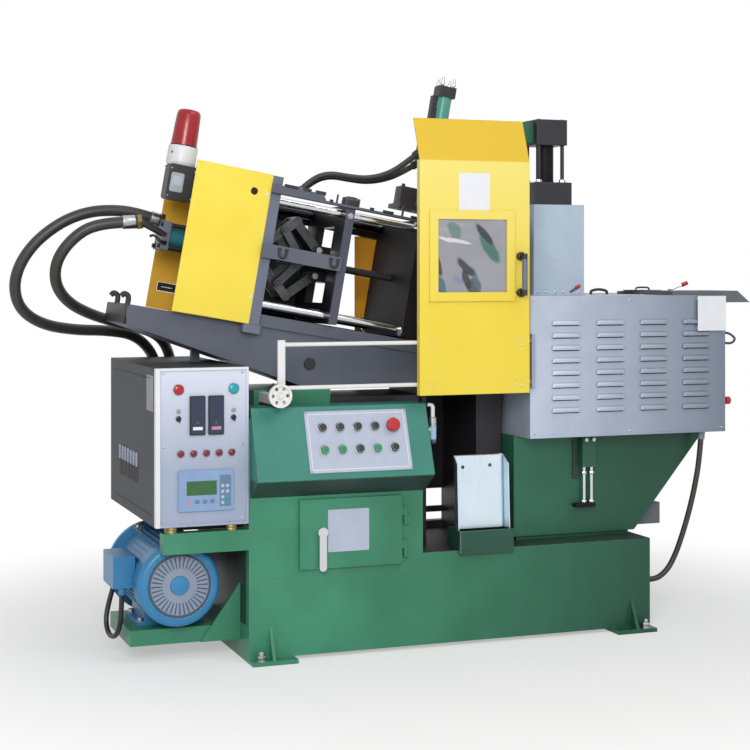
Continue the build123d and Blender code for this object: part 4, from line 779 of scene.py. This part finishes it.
# %% Small parts of the clamp unit
cams = [(20, 62), (78, 104), (118, 150), (166, 176), (296, 308), (338, 372), (430, 452), (520, 566)]
strip_top = [198 if u < 142 else 180 for u, _ in cams]
u_bolt_line = np.array([(-11, -203, 9), (-10, -207, -6), (0, -208, -13), (10, -207, -6), (11, -203, 9)])
u_bolt_places = (44, 206)
pins = ((401, 214, 3.6), (188, 206, 3))
small_parts = {
    "iron_black": [
        slab(cam, (-192.4, -184), (low - 4, low + 7), 0, 2) for cam, low in zip(cams, strip_top)
    ]
    + [slab((-15, 780), (-192.3, -185.7), (170.6, 174), 0, 1, 0.3)]
    + [bent_bar(u_bolt_line + (u, 0, 0), 3.6) for u in u_bolt_places]
    + [rod((u, -189, 180), (u, -189, top), radius, count=12) for u, top, radius in pins]
    + [turned([(0, 6), (5, 6)], (u + du, -204, 9), up, 6) for u in u_bolt_places for du in (-11, 11)],
    "zinc": bolts([(241, -180, 150)], front, 10, 6),
}
cover_parts = {
    "white": [screw((-24, -180, w), front, 5.5, 3.5) for w in (165, -142)]
    + [screw(place, up, 5, 3) for place in product((-180, -30), (-160, 160), [225])],
    "black": [
        slab((-224, -166), (173.5, 176.4), (-159, -133), 1, 2, 0.3),
        slab((-67, -65), (-178, -176), (160, 174), 1, 1, 0.2),
    ],
    "rail_white": [slab((-213, -177), (172.8, 173.6), (-148, -145), 1, 1, 0.2)],
    "platen_grey": [
        slab((-16.4, 16.4), (-180.4, 180.4), (219, 224), 0, 2),
        slab((-30, 24), (-180, -141), (-246, -221), 2, 3),
        slab((-30, 24), (141, 180), (-246, -221), 2, 3),
    ],
}
carriage = {
    "iron_black": [
        slab((216, 266), (-181, -142), (180.2, 199), 2, 8, 2),
        turned([(0, 17), (2, 20), (8, 20), (10, 16)], (241, -161, 198.5), up, 6),
        rod((254, 0, 0), (466, 0, 0), 11.5),
    ],
    "zinc": bolts(product([466], (-160, 160), (-166, 166)), left, 15, 8)
    + [rod((204, y, w), (204, y + 3, w), 10) for y in (-51.5, 48.5) for w in (-40, 40)],
}
# dark sheets on the far side behind the toggles and top tie bar: painted shade
shade_sheets = {
    "black_oil_and_shade": [
        slab((16, 232), (184, 187), (-221, -163), 1, 1, 0.3),
        slab((232, 700), (184, 187), (-221, -176), 1, 1, 0.3),
    ]
}
piece("clamp_small_parts", within(clamp_frame, small_parts))
piece("cover_fasteners", within(clamp_frame, cover_parts))
piece("carriage_cap", within(clamp_frame, carriage), body="clamp_carriage")
piece("painted_shade_sheet", within(clamp_frame, shade_sheets))

# %% The bed's dark side and the beam under the clamp
# a dark sheet on the bed's left wall: painted shade
piece("bed_side_painted_shade", {"guard_green": [slab((-0.5, 0.2), (30, 570), (104, 324), 0, 4, 0.2)]})
hook_line = np.array([(-370, 0, -226), (-370, 0, -208), (-374, 0, -197), (-385, 0, -194), (-392, 0, -202)])
beam_end = {
    "iron_black": [bent_bar(hook_line + (0, y, 0), 8) for y in (-134, 20)]
    # thin dark plate over the beam's left end face: painted shade
    + [slab((-375.6, -370), (-140.3, 140.3), (-280, -221), 0, 3)],
    "rail_white": [slab((-374, -250), (-140.4, -136), (-222, -220.4), 0, 0.8, 0.2)],
}
beam_fittings = within(clamp_frame, beam_end)
beam_fittings["iron_black"] += [
    rod((234, 156, 844), (234, 160, 844), 18),
    prism([(66, 700.2), (120, 700.2), (120, 790), (66, 716)], 152, 160),
    slab((302, 595.7), (165, 435), (700.3, 742), 2, 8),
]
piece("beam_fittings", beam_fittings)

# %% [markdown]
# ## Sliding door
# The door carries a white plate, which is left plain here, the heads of the screws that hold its
# rail shoes, and a pull handle with black ends and a grey grip.

# %% What rides on the door
grip_x, grip_y = 826, -93.62
handle_end = [(0, 9), (2, 13), (14, 13), (17, 9)]
shoe_screws = product((529, 546, 815, 832), [-60], (798, 778, 923, 901))
piece("door_fittings", {
    "label": [slab((627, 727), (-61, -60), (1297, 1414), 1, 3, 0.3)],
    "zinc": [screw(place, front, 2.6, 1.6) for place in shoe_screws],
    "platen_grey": [rod((grip_x, grip_y, 1066), (grip_x, grip_y, 1159), 8.4, 1.5, 96)],
    "black": [turned(handle_end, (grip_x, -60, z), front, 24) for z in (1058, 1167)],
}, body="sliding_guard")

# %% [markdown]
# ## Control cabinet
# The pale front stands in a bright rim. It carries two pilot buttons, two toggle switches with
# their lamps, two temperature controllers, five push buttons and a small operator screen.


# %% Buttons, switches and lamps
def button(x, z, cap, radius, out=10.0):
    """Bezel and cap, both turned about the line that points out of the panel."""
    bezel = [(0, radius + 2.5), (3, radius + 2.5), (4.5, radius + 0.6)]
    top = [(0, radius), (out - 4, radius), (out - 1.5, 0.86 * radius), (out, 0.5 * radius)]
    return {"zinc": [turned(bezel, (x, 0, z), front, 24)], cap: [turned(top, (x, 0, z), front, 24)]}


def gather(sets):
    """Joins dictionaries of shapes, finish by finish."""
    whole = {}
    for groups in sets:
        for finish, shapes in groups.items():
            whole.setdefault(finish, []).extend(shapes)
    return whole


pilots = [button(-206, 789, "red", 14), button(-46, 789, "cyan", 14)]
pilots += [button(x, 608, "dark_red", 9) for x in (-200, -163, -126, -89, -52)]
for x, lamp_finish in ((-206, "amber"), (-46, "pink")):
    collar = turned([(0, 8), (3, 8), (4, 5)], (x, 0, 707), front, 20)
    pilots.append(button(x, 728, lamp_finish, 4, 5))
    pilots.append({"black": [collar, rod((x, -3, 707), (x, -13, 700), 3.6)]})
piece("cabinet_buttons", gather(pilots))

# %% Controllers, screen and rim
meters = [
    {
        "black": [slab((x - 0.4, x + 44.4), (-8.6, 0), (659.6, 770.4), 1, 3, 0.8)],
        "meter_blue": [slab((x + 2.5, x + 41.5), (-9.2, -8.4), (663, 767), 1, 2, 0.3)],
        strip: [slab((x + 8, x + 36), (-9.6, -9), (674, 683), 1, 1, 0.2)],
        "lcd_green": [slab((x + 18, x + 26), (-9.6, -9), (691, 698), 1, 1, 0.2)],
    }
    for x, strip in ((-174, "label"), (-120, "pink"))
]
piece("temperature_controllers", gather(meters))
key_places = product((-84, -70), (462, 478, 494, 510))
piece("operator_screen", {
    "screen_blue": [slab((-207.4, -46.6), (-7.6, 0), (444.6, 560.4), 1, 4, 0.8)],
    "lcd_green": [slab((-184, -97), (-8.2, -7.4), (490, 530), 1, 1.5, 0.3)],
    "keypad_blue": [slab((-88, -55), (-8.1, -7.4), (456, 545), 1, 2, 0.3)]
    + [slab((x, x + 13), (-8.6, -7.4), (466, 477), 1, 2, 0.3) for x in (-160, -138, -116)],
    "panel": [slab((x, x + 9), (-8.9, -8), (z, z + 9), 1, 1.5, 0.3) for x, z in key_places],
    "pink": [slab((-184, -170), (-8.6, -7.4), (466, 477), 1, 2, 0.3)],
    "cyan": [slab((-70, -61), (-9.3, -8), (z, z + 9), 1, 1.5, 0.3) for z in (462, 478)],
})
piece("cabinet_rim", {
    "white": [
        slab((-272.5, -258), (-4.6, 13), (401.6, 849.4), 1, 2, 1),
        slab((-258, -1.6), (-4.4, 0), (842, 849.4), 1, 1, 0.6),
    ],
    "zinc": [screw(place, front, 3.6) for place in product((-249, -20), [0], (420, 628, 834))],
})

# %% Side of the cabinet
vents = np.arange(228, 470, 40)
in_wall = -271.8
piece("cabinet_side", {
    "side_label": [slab((-272.9, in_wall), (24, 110), (726, 828), 0, 3, 0.3)],
    "black_oil_and_shade": [slab((-272.6, in_wall), (y, y + 27), (500, 548), 0, 2, 0.2) for y in vents],
    "cabinet_pale": [slab((-277, in_wall), (y + 6, y + 16), (548, 590), 0, 2, 1) for y in vents],
    "cabinet_dark": [slab((-273.4, in_wall), (60, 575), (z, z + 2), 0, 0.8, 0.4) for z in (430, 818)],
})
foot_nut = [(0, 19), (7, 19), (8, 18.4)]
piece("cabinet_feet", {
    "brass": [turned(foot_nut, place, up, 24) for place in product((-222, -48), [20], (384, 393))],
    "black_oil_and_shade": [slab((-240, -8), (30, 46), (388, 401.6), 1, 1)],
})

# %% [markdown]
# ## Console
# The console's plate is printed aluminium with a white line round it. Its buttons are ordinary
# 22 mm ones, black and green, and the stop button has a dark collar under its red head.

# %% Console plate and buttons
plate, cap_radius = 3, 11.6


def slope_button(x, s, cap):
    """As on the cabinet, but drawn for the console's frame, where up points out of the face."""
    bezel = [(0, cap_radius + 3.4), (3.4, cap_radius + 3.4), (5, cap_radius + 0.8)]
    top = [(0, cap_radius), (11.8, cap_radius), (14.4, 0.88 * cap_radius), (15, 0.5 * cap_radius)]
    return {"zinc": [turned(bezel, (x, s, plate), up, 24)], cap: [turned(top, (x, s, plate), up, 24)]}


columns = 209 + 54 * np.arange(5)
upper_row, lower_row = 151, 85
lower_caps = ("green", "green", "black", "green", "black")
console = gather(
    [slope_button(x, upper_row, "black") for x in columns[:4]]
    + [slope_button(x, lower_row, cap) for x, cap in zip(columns, lower_caps)]
)
stop_collar = turned([(0, 17), (3, 17), (3.6, 14)], (columns[4], upper_row, plate), up, 28)
console["black"].append(stop_collar)
lines = [((168, 466), (s, s + 1.8)) for s in (27, 191)] + [((x, x + 1.8), (27, 193)) for x in (168, 464)]
console["label"] = [slab(x, s, (2.8, 3.3), 2, 0.6, 0.1) for x, s in lines]
console["zinc"] += [screw(place, up, 3.2) for place in product((164, 470), (23, 197), [plate])]
piece("console_controls", within(console_frame, console))

# %% Lubricator beside the console
middle_line = (562, -14)
outlet = [(562, -14, 718), (560, -14, 724), (553, -14, 726), (546, -14, 726)]
piece("lubricator_unit", {
    "zinc": [
        rod((541.6, -14, 652), (562, -14, 652), 5.6),
        turned([(0, 9), (2, 11), (26, 11), (28, 8)], (*middle_line, 662), up, 24),
    ],
    "bowl": [turned([(0, 8), (1, 10.4), (44, 10.8), (46, 9)], (*middle_line, 618), up, 24)],
    "bowl_base": [turned([(0, 5), (1, 9), (12, 11), (13, 10)], (*middle_line, 611), up, 24)],
    "white": [rod((*middle_line, 688), (*middle_line, 722), 6), bent_bar(outlet, 5.2)],
}, replaces="lubricator")

# %% Door of the bed
piece("bed_door_plate", {
    "panel": [slab((234, 361), (-13.4, -12.2), (307, 430), 1, 4, 0.4)],
    "zinc": [screw(place, front, 2.6, 1.4) for place in product((242, 353), [-13.4], (315, 422))],
}, body="bed_door")

# %% [markdown]
# ## Pump motor
# A fan-cooled motor has a pressed cowl with a slotted grille, cooling ribs along its frame and
# bolts round its flange. A rib is one plate, turned about the axis in steps of eight degrees.

# %% Motor ribs, grille and bolts
motor_x, motor_z = -190, 227
cowl = (motor_x, 50, motor_z)


def round_motor(shape, turn):
    """Turned about the motor's axis: x' = x cos t - z sin t, z' = x sin t + z cos t."""
    points, faces = shape
    x, y, z = (points - (motor_x, 0, motor_z)).T
    moved = np.column_stack([x * cos(turn) - z * sin(turn), y, x * sin(turn) + z * cos(turn)])
    return moved + (motor_x, 0, motor_z), faces


rib = slab(around(motor_x, 1.6), (121, 394), (motor_z + 110, motor_z + 119), 1, 1, 0.5)
slot_corners = ((-1.2, 50), (1.2, 50), (2, 82), (-2, 82))
grille_slot = prism([(motor_x + dx, motor_z + dz) for dx, dz in slot_corners], 48.4, 49.4)
rib_turns = np.radians(np.arange(0, 360, 8))
slot_turns = np.radians(np.arange(0, 360, 10))
flange = [(motor_x + 126 * cos(turn), 395, motor_z + 126 * sin(turn)) for turn in slot_turns[2::9]]
piece("motor_dress", {
    "motor_blue": [round_motor(rib, turn) for turn in rib_turns]
    + [turned([(0, 28), (3.4, 26), (5, 18), (5.4, 1)], cowl, front, 28)]
    + [turned([(0, 99), (2.2, 98), (2.2, 94), (0, 92)], cowl, front, 56)],
    "grille_grey": [turned([(0, 86), (0.9, 85.5), (1, 84)], cowl, front, 56)],
    "grille_shade": [round_motor(grille_slot, turn) for turn in slot_turns]
    + [turned([(0, 91.5), (0.6, 91.5), (0.7, 86.2)], cowl, front, 56)],
    "zinc": bolts(flange, front, 16, 9) + bolts(product((-276, -104), (178, 312), [109]), up, 15, 9),
})

# %% [markdown]
# ## Furnace cover
# The louvres were pressed out of the sheet, so each is a small hood with rounded ends, open below.
# A hood is a quarter ellipse that grows and shrinks along its length; the dark slot under it is
# painted shade.


# %% Louvres
cover_front = -10


def hood(x, z, length=86.0, out=9.0, rise=15.0, end=7.0):
    """Quarter ellipse (out cos t, rise sin t), scaled by sqrt(1 - (beyond / end)^2) at the ends."""
    left_end = -end * np.cos(np.linspace(0.12, pi / 2, 6))
    right_end = length + end * np.sin(np.linspace(0.2, pi / 2 - 0.12, 5))
    along = np.concatenate([left_end, [length], right_end])
    beyond = np.maximum(np.maximum(-along, along - length), 0)
    scale = np.sqrt(1 - (beyond / end) ** 2)
    turn = np.linspace(0, pi / 2, 7)
    loops = np.empty((len(along), 8, 3))
    loops[:, :7, 1] = cover_front - scale[:, None] * out * np.cos(turn)
    loops[:, :7, 2] = z - 0.4 + scale[:, None] * rise * np.sin(turn)
    loops[:, 7, 1] = cover_front + 0.4
    loops[:, 7, 2] = z - 0.4
    loops[:, :, 0] = x + along[:, None]
    return loft(loops)


slot_y = (cover_front - 0.5, cover_front + 0.2)
louvres = list(product(963 + 153 * np.arange(4), 697 + 38.2 * np.arange(8) - 6.5))
piece("louvres", {
    "sheet_silver": [hood(x, z) for x, z in louvres],
    # the dark slot under each hood is painted shade
    "black": [slab((x - 2, x + 88), slot_y, (z - 4.2, z - 0.3), 1, 1.5, 0.2) for x, z in louvres],
})

# %% What stands on the furnace cover
cover_hook = [(1230, 250, 1046), (1232, 250, 1058), (1258, 250, 1063), (1286, 250, 1058), (1289, 250, 1046)]
side_hook = [(1572, 12, 927), (1602, 12, 922), (1622, 12, 906), (1608, 12, 892), (1572, 12, 894)]
lid_hook = [(1424, 300, 1058), (1428, 300, 1067), (1450, 300, 1069), (1472, 300, 1067), (1476, 300, 1058)]
under_label = (1560, cover_front, 1033)
screw_places = product((898, 1228, 1560), [cover_front], (626, 1033))
cover_screws = [place for place in screw_places if place != under_label]
piece("furnace_fittings", {
    "label": [slab((1466, 1569), (-21, -19.4), (934, 1044), 1, 2, 0.3)],
    "white": [rod((x, -9, z), (x, -20, z), 5) for x in (1474, 1561) for z in (942, 1036)],
    "iron_black": [bent_bar(cover_hook, 4.5), rod((1496, 200, 1046), (1496, 200, 1063), 7)],
    "chrome": [bent_bar([(1496, 200, 1061), (1520, 200, 1070), (1544, 200, 1078)], 4)],
    "red": [
        rod((1540, 200, 1076.5), (1562, 200, 1084.5), 7, 2),
        turned([(0, 7), (12, 8), (16, 12), (28, 13), (33, 8)], (1573, 14, 708), (1, 0, 0), 24),
        rod((1136, 176, 1068), (1152, 176, 1077), 5, 1.5),
    ],
    "cast_iron": [bent_bar(side_hook, 4)],
    "steel": [bent_bar([(1118, 179, 1056), (1128, 177, 1062), (1140, 176, 1070)], 3.4)],
    "zinc": [screw(place, front, 4) for place in cover_screws]
    + [screw((x, 180, 1056), front, 4.5, 3) for x in (1004, 1032, 1064, 1092, 1150)]
    + [screw((1082, 180, 1165), front, 4, 2)],
    "sheet_pale": [
        slab((984, 1172), (176, 424), (1046.6, 1051), 2, 2),
        slab((988.6, 991), (179.4, 180.2), (1052, 1334), 2, 0.5, 0.1),
    ],
    "sheet_silver": [slab((884.4, 1572.6), (-11.6, -10), (612.4, 618), 0, 0.7, 0.3)],
})
piece("lid_bridge", {"steel": [bent_bar(lid_hook, 3)]})

# %% Furnace housing and its jack
jack_rods = (1113, 1139)
jack_nut = [(0, 8.6), (1, 9.4), (9, 9.4), (10, 8.6)]
piece("housing_fittings", {
    "bed_green": [slab((1069.4, 1073), (88.6, 92), (300, 611.5), 2, 1, 0.6)],
    # dark sheet left of the jack block: painted shade in the recess
    "guard_green": [slab((1078, 1102), (87, 90.5), (470, 605), 1, 2, 0.4)],
    "black_oil_and_shade": [slab((1078, 1148), (62, 90), (383.6, 394.4), 2, 2, 1)],
    "chrome": [rod((x, 77, 394), (x, 77, 508), 5.5, 0.3, 16) for x in jack_rods],
    "zinc": [turned(jack_nut, place, up, 6) for place in product(jack_rods, [77], (394, 484))]
    + [rod((x, 62, 594), (x, 57, 594), 7) for x in jack_rods],
    "sheet_dark": [slab((1334.6, 1428.4), (149.6, 250.4), (303.6, 372.4), 1, 3, 1.5)],
})

# %% Deck, anchor bolts and chute
# Dark sheets on the deck: painted shade under the clamp unit and below the furnace housing.
piece("deck_sheet", {
    "brown_black_and_shade": [slab((537, 876.5), (3, 597), (285, 286.4), 2, 2, 0.4)],
    "deck_grey": [slab((877, 1303), (3, 597), (285, 286.2), 2, 2, 0.4)],
})
anchor_washer = [(0, 15), (2.6, 15), (3, 14)]
anchor_nut = [(2, 13), (3, 13.8), (14, 13.8), (15, 12.4)]
anchors = []
for x, y in ((30, -24), (1275, -24), (30, 624), (1275, 624)):
    anchors.append(turned(anchor_washer, (x, y, 12), up, 24))
    anchors.append(turned(anchor_nut, (x, y, 12), up, 6))
    anchors.append(rod((x, y, 12), (x, y, 38), 7.6, 1.4))
piece("anchor_nuts", {"zinc": anchors})
piece("chute_screws", {
    "steel": [screw((x, 41, z), (0, -1, 0.05), 5.5, 3) for x, z in ((683, 529), (773, 532))],
    "sheet_dark": [slab((650, 655), (-13.6, -11), (276, 345), 1, 1, 0.4)],
})

# %% [markdown]
# ## Studio
# The machine stands on a pale floor in soft light. The floor and the world look white to the
# camera, in reflections and through glass, while their light on the machine stays at a plain level.


# %% Floor, world and lamps
def share_seen(tree):
    """1 for camera, glossy and transmission rays and 0 for others: the largest of the three flags."""
    ray = add(tree, "LightPath").outputs
    seen = ray["Is Camera Ray"]
    for flag in ("Is Glossy Ray", "Is Transmission Ray"):
        seen = add(tree, "Math", {"operation": "MAXIMUM", 0: seen, 1: ray[flag]})
    return seen


floor_material, tree, place = new_material("studio_floor")
noise = add(tree, "TexNoise", {"Vector": place, "Scale": 3.0, "Detail": 2.0})
pale = add(tree, "Mix", rgba | {0: noise, 6: "#f6f6f6", 7: "#fcfcfc"}).outputs[2]
lit = add(tree, "BsdfDiffuse", {"Color": pale})
white = add(tree, "Emission", {"Color": "#ffffff", "Strength": 1.0})
distance = add(tree, "VectorMath", {"operation": "LENGTH", 0: place}).outputs["Value"]
fade = {"Value": distance, "From Min": 0.9, "From Max": 2.1, "To Min": 0.42, "To Max": 1.0}
far = add(tree, "MapRange", {"interpolation_type": "SMOOTHSTEP"} | fade)
shown = add(tree, "Math", {"operation": "MULTIPLY", 0: far, 1: share_seen(tree)})
surface = add(tree, "MixShader", {0: shown, 1: lit, 2: white})
add(tree, "OutputMaterial", {"Surface": surface})
half = 14000
floor_mesh = bpy.data.meshes.new("floor")
floor_corners = [(-half, -half, 0), (half, -half, 0), (half, half, 0), (-half, half, 0)]
floor_mesh.from_pydata(metres(floor_corners), [], [(0, 1, 2, 3)])
floor_mesh.materials.append(floor_material)
floor = new_object("floor", floor_mesh)

world = bpy.data.worlds.new("studio")
world.use_nodes = True
tree = world.node_tree
tree.nodes.clear()
level = add(tree, "MapRange", {"Value": share_seen(tree), "To Min": 0.40, "To Max": 1.0})
sky = add(tree, "Background", {"Color": "#ffffff", "Strength": level})
add(tree, "OutputWorld", {"Surface": sky})
bpy.context.scene.world = world


def lamp(name, place, target, size, watts):
    """A square area lamp at a machine point, aimed at another."""
    data = bpy.data.lights.new(name, "AREA")
    data.size = size
    data.energy = watts
    thing = new_object(name, data)
    thing.location = metres(place)
    aim = Vector(metres(target)) - thing.location
    thing.rotation_euler = aim.to_track_quat("-Z", "Y").to_euler()


lamp("key", (-1500, -4300, 2300), (250, 200, 850), 1.6, 122)
lamp("fill", (1800, -2600, 4200), (600, 200, 700), 2.4, 40)
bpy.context.scene.view_settings.view_transform = "Standard"
